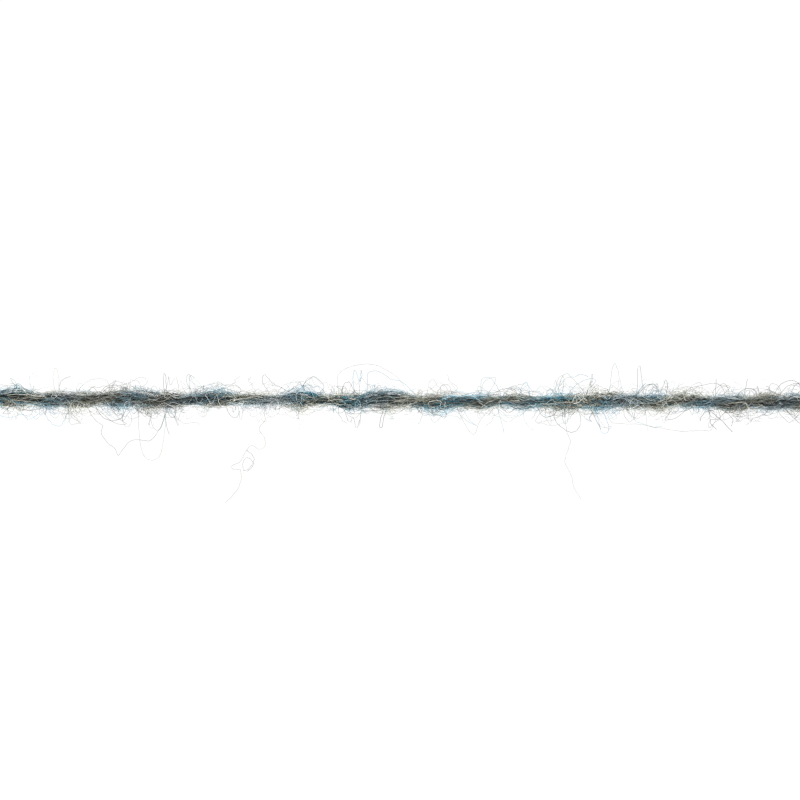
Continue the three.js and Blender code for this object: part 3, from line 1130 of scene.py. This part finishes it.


# Stray fibres that can be told apart from above, each given as (x, y) places. lift is its height over
# the surface where it is clear of the strand, and thick is against the halo's thickness.
Stray = namedtuple("Stray", "lift thick places")
DARK_STRAYS = [
    # Long curly end that hangs down to the left, with a small tangle half way.
    Stray(0.02, 1.0, [
        (-6.75, -0.2), (-6.8, -0.78), (-6.75, -1.03), (-7.05, -1.43), (-6.75, -2.0), (-6.8, -2.38),
        (-7.05, -2.48), (-7.4, -2.28), (-7.65, -2.48), (-8.0, -3.1), (-8.45, -3.34), (-8.3, -3.5),
        (-8.0, -3.49), (-7.95, -4.04), (-8.1, -4.44), (-8.4, -4.84), (-8.75, -5.2),
    ]),
    Stray(0.1, 0.9, [
        (-7.65, -2.5), (-7.3, -2.95), (-7.5, -3.4), (-7.8, -3.55), (-7.85, -3.15), (-7.6, -2.9),
        (-7.3, -3.2), (-7.65, -3.6),
    ]),
    # The peak over the left half, and the narrow loop farther left.
    Stray(0.5, 1.0, [
        (-6.5, 0.1), (-6.6, 0.4), (-6.9, 1.0), (-6.75, 1.25), (-6.4, 0.87), (-5.7, 0.48), (-5.2, 0.2),
    ]),
    Stray(1.0, 1.0, [(-11.75, 0.1), (-11.78, 0.94), (-11.72, 1.29), (-11.65, 1.24), (-11.65, 0.1)]),
    # Hooks and loops under the left third.
    Stray(0.3, 1.1, [
        (-15.3, -0.1), (-15.1, -0.62), (-14.75, -0.97), (-14.35, -1.07), (-13.95, -0.97), (-13.65, -0.4),
    ]),
    Stray(0.5, 1.1, [(-11.7, -0.2), (-11.5, -0.8), (-11.3, -0.9), (-11.2, -0.65), (-11.25, -0.2)]),
    Stray(0.5, 1.0, [(-11.75, -0.3), (-11.72, -0.9), (-11.65, -1.3), (-11.5, -1.75)]),
    Stray(0.4, 1.0, [
        (-8.75, -0.1), (-8.65, -0.45), (-8.5, -0.75), (-8.2, -0.9), (-8.05, -0.64), (-8.2, -0.1),
    ]),
    # The hook right under the middle.
    Stray(0.7, 1.2, [
        (-0.8, -0.2), (-0.85, -0.55), (-0.97, -1.0), (-1.0, -1.34), (-0.9, -1.34), (-0.83, -0.95),
        (-0.6, -0.3),
    ]),
    # Two loops that cross under the right half.
    Stray(0.2, 1.1, [
        (7.65, -0.2), (7.7, -0.6), (7.8, -0.98), (8.1, -1.3), (8.5, -1.52), (8.85, -1.45), (9.05, -1.05),
        (9.0, -0.65), (8.8, -0.2),
    ]),
    Stray(0.5, 1.1, [(6.8, -0.2), (6.95, -0.46), (7.05, -0.66), (7.3, -0.78), (7.65, -0.7), (7.9, -0.3)]),
    Stray(0.8, 1.0, [(9.4, -0.1), (9.55, -0.45), (9.75, -0.85), (10.0, -1.38)]),
    # Arcs and ends over the right half.
    Stray(0.9, 1.0, [(11.7, 0.1), (11.9, 0.4), (12.15, 0.7), (12.5, 0.88), (12.8, 0.74), (12.95, 0.2)]),
    Stray(0.9, 1.1, [(12.85, 0.1), (13.0, 0.5), (13.2, 1.08), (13.3, 0.92), (13.3, 0.5), (13.25, 0.0)]),
    Stray(0.9, 1.1, [(15.8, 0.1), (15.75, 0.45), (15.72, 0.8), (15.72, 1.15)]),
    Stray(0.9, 1.1, [(17.15, 0.1), (17.2, 0.7), (17.25, 0.95), (17.3, 1.18)]),
    Stray(0.7, 1.2, [(16.8, 0.1), (16.95, 0.5), (17.25, 0.68), (17.6, 0.66), (17.85, 0.35), (17.9, 0.0)]),
    Stray(0.9, 1.2, [
        (18.55, 0.1), (18.7, 0.5), (18.9, 0.85), (19.25, 1.07), (19.65, 1.08), (19.95, 0.8), (20.2, 0.2),
    ]),
    Stray(0.9, 1.1, [(18.8, 0.0), (18.95, 0.4), (19.3, 0.82), (19.75, 0.96), (20.15, 0.6), (20.4, 0.1)]),
    # Dark ends and loops under the right end.
    Stray(0.4, 1.3, [(15.0, -0.95), (15.05, -0.77), (15.25, -0.5), (15.9, -0.33), (16.4, -0.1)]),
    Stray(0.7, 1.2, [(15.35, -0.1), (15.45, -0.52), (15.5, -1.02), (15.78, -1.36)]),
    Stray(0.4, 1.3, [(15.3, -0.2), (15.65, -0.55), (16.1, -0.92), (16.35, -1.2), (16.62, -1.5)]),
    Stray(0.8, 1.1, [(16.1, -0.1), (16.3, -0.5), (16.57, -0.8), (16.5, -1.2)]),
    Stray(0.5, 1.1, [(17.5, -1.0), (17.58, -0.85), (17.9, -0.7), (18.25, -0.55), (18.6, -0.1)]),
    Stray(0.5, 1.1, [(19.1, -0.1), (19.4, -0.5), (19.75, -0.85), (20.1, -1.1)]),
]
BLUE_STRAYS = [
    Stray(0.9, 1.0, [(-17.1, 0.1), (-17.0, 0.6), (-16.75, 0.97), (-16.4, 1.12)]),
    Stray(0.5, 0.9, [
        (-20.6, -0.1), (-20.1, -0.72), (-19.5, -0.95), (-18.9, -0.8), (-18.5, -1.0), (-18.0, -0.72),
        (-17.6, -0.2),
    ]),
    Stray(0.5, 0.9, [
        (-18.0, -0.2), (-17.7, -0.8), (-17.3, -1.3), (-16.95, -1.35), (-16.6, -0.7), (-16.4, -0.2),
    ]),
    Stray(0.1, 0.9, [
        (-12.7, -0.2), (-12.5, -0.8), (-12.4, -1.3), (-12.1, -1.56), (-11.85, -1.1), (-11.6, -0.3),
    ]),
    # Pale blue loops to the left of the middle.
    Stray(0.9, 1.0, [
        (-2.2, 0.1), (-2.35, 1.1), (-2.25, 1.5), (-2.0, 0.95), (-1.9, 1.3), (-1.95, 1.5), (-2.05, 0.1),
    ]),
    Stray(1.2, 1.0, [
        (-1.7, 0.1), (-1.62, 0.8), (-1.58, 1.35), (-1.1, 1.45), (-0.4, 1.05), (0.05, 0.95), (0.7, 0.4),
        (0.9, 0.1),
    ]),
    Stray(0.3, 1.0, [(0.5, -0.1), (0.8, -0.65), (0.95, -0.95), (1.35, -1.49), (1.8, -1.76)]),
    Stray(0.6, 0.9, [
        (3.95, 0.1), (4.05, 0.5), (4.05, 1.03), (4.4, 1.18), (4.7, 0.93), (5.0, 0.4), (5.1, 0.0),
    ]),
    Stray(0.7, 0.9, [(4.9, -0.1), (4.95, -0.6), (5.1, -1.2), (5.2, -1.6)]),
    Stray(0.9, 1.0, [
        (7.95, 0.1), (7.9, 0.65), (8.1, 1.28), (8.3, 1.38), (8.6, 1.2), (8.95, 1.36), (9.35, 1.24),
    ]),
    Stray(0.9, 1.0, [
        (8.3, 0.1), (8.5, 0.55), (8.9, 0.92), (9.5, 1.15), (9.75, 1.05), (9.5, 0.7), (9.45, 0.1),
    ]),
    Stray(0.8, 1.1, [(8.0, -0.1), (8.1, -0.5), (8.12, -0.9), (8.2, -1.12), (8.35, -0.95), (8.45, -0.1)]),
    Stray(0.7, 1.0, [
        (9.7, -0.2), (9.9, -0.9), (10.0, -1.4), (10.2, -1.62), (10.42, -1.4), (10.3, -0.9), (10.0, -0.2),
    ]),
    Stray(0.4, 0.8, [
        (10.3, 0.1), (10.45, 0.56), (10.55, 1.31), (10.7, 1.92), (10.87, 1.56), (11.1, 0.66), (11.3, 0.1),
    ]),
    Stray(0.8, 1.6, [(11.75, 0.2), (11.95, 0.6), (12.2, 0.93)]),
    Stray(0.6, 1.0, [(12.2, -0.1), (12.35, -0.85), (12.6, -1.05), (13.0, -1.25)]),
    Stray(0.5, 0.9, [(11.5, -0.1), (11.75, -0.95), (12.1, -1.08), (12.6, -1.25), (13.1, -1.2)]),
    Stray(0.7, 1.0, [(5.1, 0.1), (5.3, 0.5), (5.6, 0.75), (6.0, 0.6), (6.1, 0.1)]),
    Stray(0.6, 1.0, [(5.8, 0.1), (6.0, 0.45), (6.1, 0.8), (6.3, 0.95), (6.45, 0.55), (6.5, 0.1)]),
]
BROWN_STRAYS = [
    Stray(0.5, 0.9, [
        (-16.15, 0.1), (-16.0, 0.52), (-15.5, 0.92), (-15.1, 1.03), (-14.65, 0.93), (-14.5, 0.5),
        (-14.4, 0.1),
    ]),
    Stray(0.04, 0.9, [
        (-15.7, -0.2), (-15.55, -0.6), (-15.25, -1.08), (-14.9, -1.32), (-14.95, -1.67), (-14.75, -2.07),
        (-14.25, -2.52), (-14.1, -2.82), (-13.65, -2.22), (-13.25, -2.03), (-12.5, -2.06), (-12.1, -1.56),
        (-11.85, -1.06), (-11.7, -0.2),
    ]),
    Stray(0.3, 0.8, [
        (-13.1, -0.2), (-13.05, -1.5), (-12.95, -2.31), (-12.75, -2.9), (-12.4, -3.06), (-12.0, -2.81),
        (-11.75, -1.56), (-11.7, -0.3),
    ]),
    Stray(1.1, 0.7, [(-17.2, 0.1), (-17.25, 0.95), (-17.15, 1.5), (-17.0, 1.4), (-17.0, 0.1)]),
    Stray(0.7, 0.8, [(-10.5, 0.1), (-10.5, 0.7), (-10.45, 1.2), (-10.25, 1.1)]),
    Stray(1.4, 0.8, [
        (-3.0, 0.1), (-3.12, 0.8), (-3.05, 1.28), (-2.5, 1.65), (-1.5, 1.8), (-0.75, 1.55), (0.0, 1.0),
        (0.5, 0.1),
    ]),
    # The long end that coils into a ring, under the left of the middle.
    Stray(0.3, 1.0, [
        (-4.2, -0.1), (-4.0, -0.42), (-3.5, -0.87), (-2.9, -0.97), (-2.5, -1.0), (-2.3, -0.72), (-2.0, -0.7),
        (-1.85, -0.96), (-1.98, -1.22), (-2.28, -1.22), (-2.45, -1.0), (-2.3, -0.7),
    ]),
    Stray(1.0, 0.9, [
        (1.25, 0.1), (1.35, 0.46), (1.45, 0.91), (1.65, 1.07), (1.85, 0.76), (2.2, 0.45), (2.3, 0.1),
    ]),
    Stray(1.0, 0.9, [(2.0, 0.1), (2.05, 0.72), (2.25, 0.83), (2.47, 0.67), (2.6, 0.3), (2.65, 0.0)]),
    Stray(0.6, 0.9, [
        (7.7, 0.1), (7.75, 0.5), (7.82, 0.95), (8.05, 1.3), (8.17, 1.12), (8.1, 0.5), (8.1, 0.1),
    ]),
    # Faint end that hangs down under the right half.
    Stray(0.02, 0.9, [
        (8.2, -0.2), (8.35, -1.45), (8.55, -2.0), (8.35, -2.65), (8.3, -3.1), (8.6, -3.7), (8.75, -4.3),
        (9.1, -4.9),
    ]),
    Stray(0.03, 0.8, [
        (10.2, -0.2), (10.6, -1.0), (11.3, -1.1), (12.0, -1.13), (13.0, -1.3), (14.25, -1.47), (15.0, -1.4),
        (15.6, -1.38), (15.9, -0.3),
    ]),
    Stray(0.8, 0.9, [
        (14.1, 0.1), (14.4, 0.65), (15.0, 0.83), (15.6, 0.94), (16.0, 0.8), (16.2, 0.45), (16.3, 0.1),
    ]),
    Stray(0.7, 0.9, [(9.2, 0.1), (9.35, 0.55), (9.6, 0.8), (9.8, 0.5), (9.8, 0.1)]),
    Stray(0.6, 0.9, [(13.4, 0.1), (13.7, 0.5), (14.1, 0.75), (14.6, 0.7), (14.9, 0.3), (15.0, 0.1)]),
    Stray(0.6, 0.9, [(18.1, -0.1), (17.8, -0.5), (17.4, -0.9), (17.6, -1.15)]),
]
# Light fibres that lie over the strand's upper side.
CREAM_STRAYS = [
    Stray(0.5, 1.1, [
        (-19.6, 0.15), (-19.2, 0.22), (-18.6, 0.2), (-18.1, 0.12), (-17.8, 0.12), (-17.55, 0.0),
        (-17.25, 0.03), (-17.05, 0.25),
    ]),
    Stray(0.5, 1.2, [
        (-13.95, -0.42), (-13.7, -0.25), (-13.3, -0.12), (-12.9, -0.1), (-12.5, -0.03), (-12.0, -0.1),
        (-11.75, -0.05), (-11.5, 0.12),
    ]),
    Stray(0.5, 1.0, [(-13.3, -0.12), (-12.9, -0.18), (-12.6, -0.35), (-12.45, -0.55)]),
    Stray(0.5, 1.0, [
        (-9.7, 0.22), (-9.55, 0.0), (-9.42, -0.2), (-9.3, -0.03), (-9.15, 0.28), (-9.08, 0.0),
        (-8.95, -0.28),
    ]),
    Stray(0.5, 0.8, [(-8.5, -0.15), (-8.1, 0.05), (-7.6, 0.12), (-7.0, 0.05), (-6.4, -0.05)]),
    Stray(0.5, 0.8, [(-5.2, 0.25), (-5.15, 0.0), (-5.05, -0.25), (-4.95, -0.1), (-4.9, 0.2)]),
    Stray(0.5, 1.1, [(-2.3, -0.5), (-2.22, -0.2), (-2.1, 0.05), (-1.98, -0.15), (-2.0, -0.5)]),
    Stray(0.5, 0.9, [(-3.6, -0.05), (-3.2, 0.05), (-2.9, 0.0), (-2.7, -0.2), (-2.4, -0.25)]),
    Stray(0.5, 0.9, [
        (1.75, -0.35), (1.5, -0.28), (1.42, -0.1), (1.7, 0.0), (2.05, -0.04), (2.0, -0.3), (2.2, -0.4),
        (2.25, -0.05),
    ]),
    Stray(0.5, 1.0, [(3.9, -0.05), (4.2, -0.2), (4.45, -0.4), (4.75, -0.5)]),
    Stray(0.5, 0.8, [(4.0, -0.4), (4.2, -0.2), (4.4, -0.05), (4.7, 0.02)]),
    Stray(0.5, 0.9, [(6.9, -0.4), (7.3, -0.1), (7.6, 0.1), (7.72, 0.0), (7.75, -0.35)]),
    Stray(0.5, 0.9, [(8.2, -0.35), (8.1, -0.15), (8.3, 0.0), (8.5, -0.15), (8.45, -0.35)]),
    Stray(0.5, 0.8, [
        (11.5, -0.02), (11.6, 0.12), (11.8, 0.1), (11.85, -0.1), (11.7, -0.25), (11.52, -0.15),
        (11.5, 0.02),
    ]),
    Stray(0.5, 1.1, [(13.0, -0.45), (13.15, -0.15), (13.4, 0.06), (13.7, 0.03), (13.92, -0.2), (13.9, -0.4)]),
    Stray(0.5, 1.0, [(12.9, 0.25), (13.15, 0.05), (13.4, -0.2), (13.6, -0.35)]),
    Stray(0.5, 1.0, [(13.1, 0.0), (13.2, -0.3), (13.45, -0.55), (13.5, -0.85)]),
    Stray(0.5, 0.8, [(16.3, -0.1), (16.7, 0.0), (17.2, -0.05), (17.5, -0.2)]),
    Stray(0.5, 0.8, [(-16.5, 0.2), (-16.1, 0.05), (-15.7, 0.1), (-15.3, 0.0), (-15.0, 0.15)]),
]

# A stray's steps, how far and over what length it wanders off its places, how slowly it leaves the strand's
# height beside it, how much more it wanders up and down there, and how far over the strand's skin it lies.
STRAY_STEPS = 72
STRAY_JITTER = 0.012
STRAY_WAVE_LONG = 0.6
STRAY_RISE = 0.5
STRAY_WAVE = 4.0
STRAY_OVER_SKIN = 0.02


def stray_path(rng, stray):
    """A smooth path through a stray's places. Over the strand it follows the strand's skin, and beside it
    it rises or falls towards its lift, which it has where it is farthest out."""
    places = np.array(stray.places)
    gaps = np.linalg.norm(np.diff(places, axis=0), axis=1)
    travelled = np.concatenate([[0], np.cumsum(gaps)])
    at = np.linspace(0, travelled[-1], STRAY_STEPS)
    jitter = wander(rng, 3, STRAY_STEPS, travelled[-1] / STRAY_WAVE_LONG, STRAY_JITTER)
    x = curve_through(travelled, places[:, 0])(at) + jitter[0]
    y = curve_through(travelled, places[:, 1])(at) + jitter[1]
    on_strand = np.array([top_of_strand(x_here, y_here) for x_here, y_here in zip(x, y)])
    beside = np.maximum(np.abs(y - sway_at(x)) - SINGLE_HALF_WIDE, 0)
    rise = beside / (beside + STRAY_RISE)
    clear = rise / max(rise.max(), SINGLE_HALF_WIDE)
    z = (on_strand + STRAY_OVER_SKIN) * (1 - clear) + stray.lift * clear + STRAY_WAVE * jitter[2] * clear
    return np.stack([x, y, z], axis=-1)


def add_strays(name, number, strays, wool):
    rng = randoms(number)
    paths = np.array([stray_path(rng, stray) for stray in strays])
    radii = np.array(column(strays, "thick")) * sizes().loop_thick / MM / 2
    add_fibres(name, paths, radii, wool_named(wool))


class YarnOperator:
    """What the yarn's operators share."""

    bl_options = {"REGISTER", "UNDO"}


# The floor glows, so it shows pure white. A softbox hangs on each side of the strand, and the camera is a
# little towards +Y of its middle. These lengths are in metres.
FLOOR_COLOUR = (0.02, 0.02, 0.02, 1)
FLOOR_ROUGHNESS = 0.9
WHITE = (1, 1, 1, 1)
SOFTBOX_LONG = 0.3
SOFTBOX_WIDE = 0.15
SOFTBOX_ASIDE = 0.22
SOFTBOX_HIGH = 0.3
CAMERA_ASIDE = 0.00003
NEAREST_SHARE = 1 / 20
FARTHEST_FLOORS = 2


class YARN_OT_stage(YarnOperator, bpy.types.Operator):
    """Set the pale floor, the soft light and the camera straight above the strand"""

    bl_idname = "yarn.stage"
    bl_label = "Stage"

    def execute(self, context):
        stage = context.scene.yarn_stage
        half = stage.floor_wide / 2
        corners = [(-half, -half, 0), (half, -half, 0), (half, half, 0), (-half, half, 0)]
        mesh = bpy.data.meshes.new("floor")
        mesh.from_pydata(corners, [], [(0, 1, 2, 3)])
        floor = bpy.data.objects.new("floor", mesh)
        context.scene.collection.objects.link(floor)
        material, shader = new_material("White floor")
        shader.inputs["Base Color"].default_value = FLOOR_COLOUR
        shader.inputs["Emission Color"].default_value = WHITE
        shader.inputs["Emission Strength"].default_value = 1.0
        shader.inputs["Roughness"].default_value = FLOOR_ROUGHNESS
        mesh.materials.append(material)

        world = bpy.data.worlds.new("Daylight")
        world.use_nodes = True
        background = world.node_tree.nodes["Background"]
        background.inputs["Color"].default_value = WHITE
        background.inputs["Strength"].default_value = stage.daylight
        context.scene.world = world
        context.scene.view_settings.view_transform = "Standard"
        for side in (-1, 1):
            light = bpy.data.lights.new("softbox", "AREA")
            light.shape = "RECTANGLE"
            light.size = SOFTBOX_LONG
            light.size_y = SOFTBOX_WIDE
            light.energy = stage.softbox_power
            softbox = bpy.data.objects.new("softbox", light)
            softbox.location = (0, SOFTBOX_ASIDE * side, SOFTBOX_HIGH)
            softbox.rotation_euler = (-side * math.atan2(SOFTBOX_ASIDE, SOFTBOX_HIGH), 0, 0)
            context.scene.collection.objects.link(softbox)

        data = bpy.data.cameras.new("camera")
        data.lens = stage.lens
        camera = bpy.data.objects.new("camera", data)
        distance = stage.view_wide * data.lens / data.sensor_width
        camera.location = (0, CAMERA_ASIDE, distance + SINGLE_HALF_WIDE * MM)
        camera.rotation_euler = (0, 0, stage.roll)
        data.clip_start = distance * NEAREST_SHARE
        data.clip_end = stage.floor_wide * FARTHEST_FLOORS
        context.scene.collection.objects.link(camera)
        context.scene.camera = camera
        return {"FINISHED"}


class YARN_OT_spun_fibres(YarnOperator, bpy.types.Operator):
    """Spin the fibres of the two singles, and the lofted ones round them"""

    bl_idname = "yarn.spun_fibres"
    bl_label = "Spun fibres"

    def execute(self, context):
        given = sizes()

        def inner(rng, ply):
            return spun_paths(rng, ply, given.inner_fibres, INNER, given)

        def lofted(rng, ply):
            count = given.lofted_blue if ply == BLUE_PLY else given.lofted_taupe
            return spun_paths(rng, ply, count, LOFTED, given)

        add_for_each_single("fibres", 0, inner, given.inner_thick, "wool")
        add_for_each_single("lofted_fibres", 13, lofted, given.lofted_thick, "halo wool")
        return {"FINISHED"}


class YARN_OT_crossing_fibres(YarnOperator, bpy.types.Operator):
    """Lay loose fibres of both colours across the two singles"""

    bl_idname = "yarn.crossing_fibres"
    bl_label = "Crossing fibres"

    def execute(self, context):
        given = sizes()

        def crossing(rng, ply):
            return crossing_paths(rng, ply, given.crossing_fibres)

        add_for_each_single("crossing_fibres", 2, crossing, given.crossing_thick, "loose wool")
        return {"FINISHED"}


# The fuzz is half skimming arcs, a quarter loops and a quarter curls. The arcs and curls are this high
# against the fuzz's mean height, and the loops this wide.
FUZZ_STEPS = 18
FUZZ_ARCS_HIGH = 0.75
FUZZ_CURLS_HIGH = 1.4
FUZZ_LOOPS_WIDE = 0.12


class YARN_OT_fuzz(YarnOperator, bpy.types.Operator):
    """Raise the short fuzz: low arcs, small loops and short ends"""

    bl_idname = "yarn.fuzz"
    bl_label = "Fuzz"

    def execute(self, context):
        given = sizes()
        height = given.fuzz_high / MM
        quarter = given.fuzz_fibres // 4

        def fuzz(rng, ply):
            return hairy_paths(rng, ply, [
                skimming(rng, given.fuzz_fibres - 2 * quarter, FUZZ_STEPS, FUZZ_ARCS_HIGH * height),
                looping(rng, quarter, FUZZ_STEPS, height, FUZZ_LOOPS_WIDE),
                curling(rng, quarter, FUZZ_STEPS, FUZZ_CURLS_HIGH * height),
            ])

        add_for_each_single("fuzz", 4, fuzz, given.fuzz_thick, "halo wool")
        return {"FINISHED"}


# The halo is two thirds loops, this wide, and one third loose ends.
HALO_STEPS = 30
HALO_LOOPS_WIDE = 0.2


class YARN_OT_halo(YarnOperator, bpy.types.Operator):
    """Raise the halo's taller loops and loose ends"""

    bl_idname = "yarn.halo"
    bl_label = "Halo"

    def execute(self, context):
        given = sizes()
        height = given.loop_high / MM
        loops = 2 * given.halo_fibres // 3

        def halo(rng, ply):
            return hairy_paths(rng, ply, [
                looping(rng, loops, HALO_STEPS, height, HALO_LOOPS_WIDE),
                loose_ending(rng, given.halo_fibres - loops, HALO_STEPS, height),
            ])

        add_for_each_single("halo", 6, halo, given.loop_thick, "halo wool")
        return {"FINISHED"}


class YARN_OT_strays(YarnOperator, bpy.types.Operator):
    """Lay the listed stray fibres that can be told apart"""

    bl_idname = "yarn.strays"
    bl_label = "Stray fibres"

    def execute(self, context):
        add_strays("dark_strays", 8, DARK_STRAYS, "Dark stray wool")
        add_strays("blue_strays", 9, BLUE_STRAYS, "Blue stray wool")
        add_strays("brown_strays", 10, BROWN_STRAYS, "Brown stray wool")
        add_strays("cream_strays", 11, CREAM_STRAYS, "Cream stray wool")
        return {"FINISHED"}


ROUTE_POINTS = 89


class YARN_OT_core(YarnOperator, bpy.types.Operator):
    bl_idname = "yarn.core"
    bl_label = "Core"

    def execute(self, context):
        name = "plied_core"
        core = bpy.data.objects.new(name, core_mesh(name, core_points(randoms(12))))
        context.scene.collection.objects.link(core)
        core.data.materials.append(core_material())
        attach(core, "root")
        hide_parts(STRAND_NODE)
        x = np.linspace(-HALF_LONG, HALF_LONG, ROUTE_POINTS)
        route = np.stack([x, sway_at(x), axis_height(x)], axis=1) * MM
        return {"FINISHED"}


OPERATORS = [
    YARN_OT_stage,
    YARN_OT_spun_fibres,
    YARN_OT_crossing_fibres,
    YARN_OT_fuzz,
    YARN_OT_halo,
    YARN_OT_strays,
    YARN_OT_core,
]


class YARN_PT_sidebar(bpy.types.Panel):
    """Lists the yarn's pieces and its sizes and colours"""

    bl_label = "Yarn"
    bl_idname = "YARN_PT_sidebar"
    bl_space_type = "VIEW_3D"
    bl_region_type = "UI"
    bl_category = "Yarn"

    def draw(self, context):
        layout = self.layout
        for operator in OPERATORS:
            layout.operator(operator.bl_idname)
        for group in (context.scene.yarn_sizes, context.scene.yarn_colours, context.scene.yarn_stage):
            for name in group.bl_rna.properties.keys():
                if name not in {"rna_type", "name"}:
                    layout.prop(group, name)


CLASSES = [YarnSizes, YarnColours, YarnStage, *OPERATORS, YARN_PT_sidebar]


def register():
    for kind in CLASSES:
        bpy.utils.register_class(kind)
    bpy.types.Scene.yarn_sizes = bpy.props.PointerProperty(type=YarnSizes)
    bpy.types.Scene.yarn_colours = bpy.props.PointerProperty(type=YarnColours)
    bpy.types.Scene.yarn_stage = bpy.props.PointerProperty(type=YarnStage)


def unregister():
    del bpy.types.Scene.yarn_stage
    del bpy.types.Scene.yarn_colours
    del bpy.types.Scene.yarn_sizes
    for kind in reversed(CLASSES):
        bpy.utils.unregister_class(kind)


def main():
    register()
    bpy.ops.yarn.stage()
    bpy.ops.yarn.spun_fibres()
    bpy.ops.yarn.crossing_fibres()
    bpy.ops.yarn.fuzz()
    bpy.ops.yarn.halo()
    bpy.ops.yarn.strays()
    bpy.ops.yarn.core()
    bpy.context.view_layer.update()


if __name__ == "__main__":
    main()
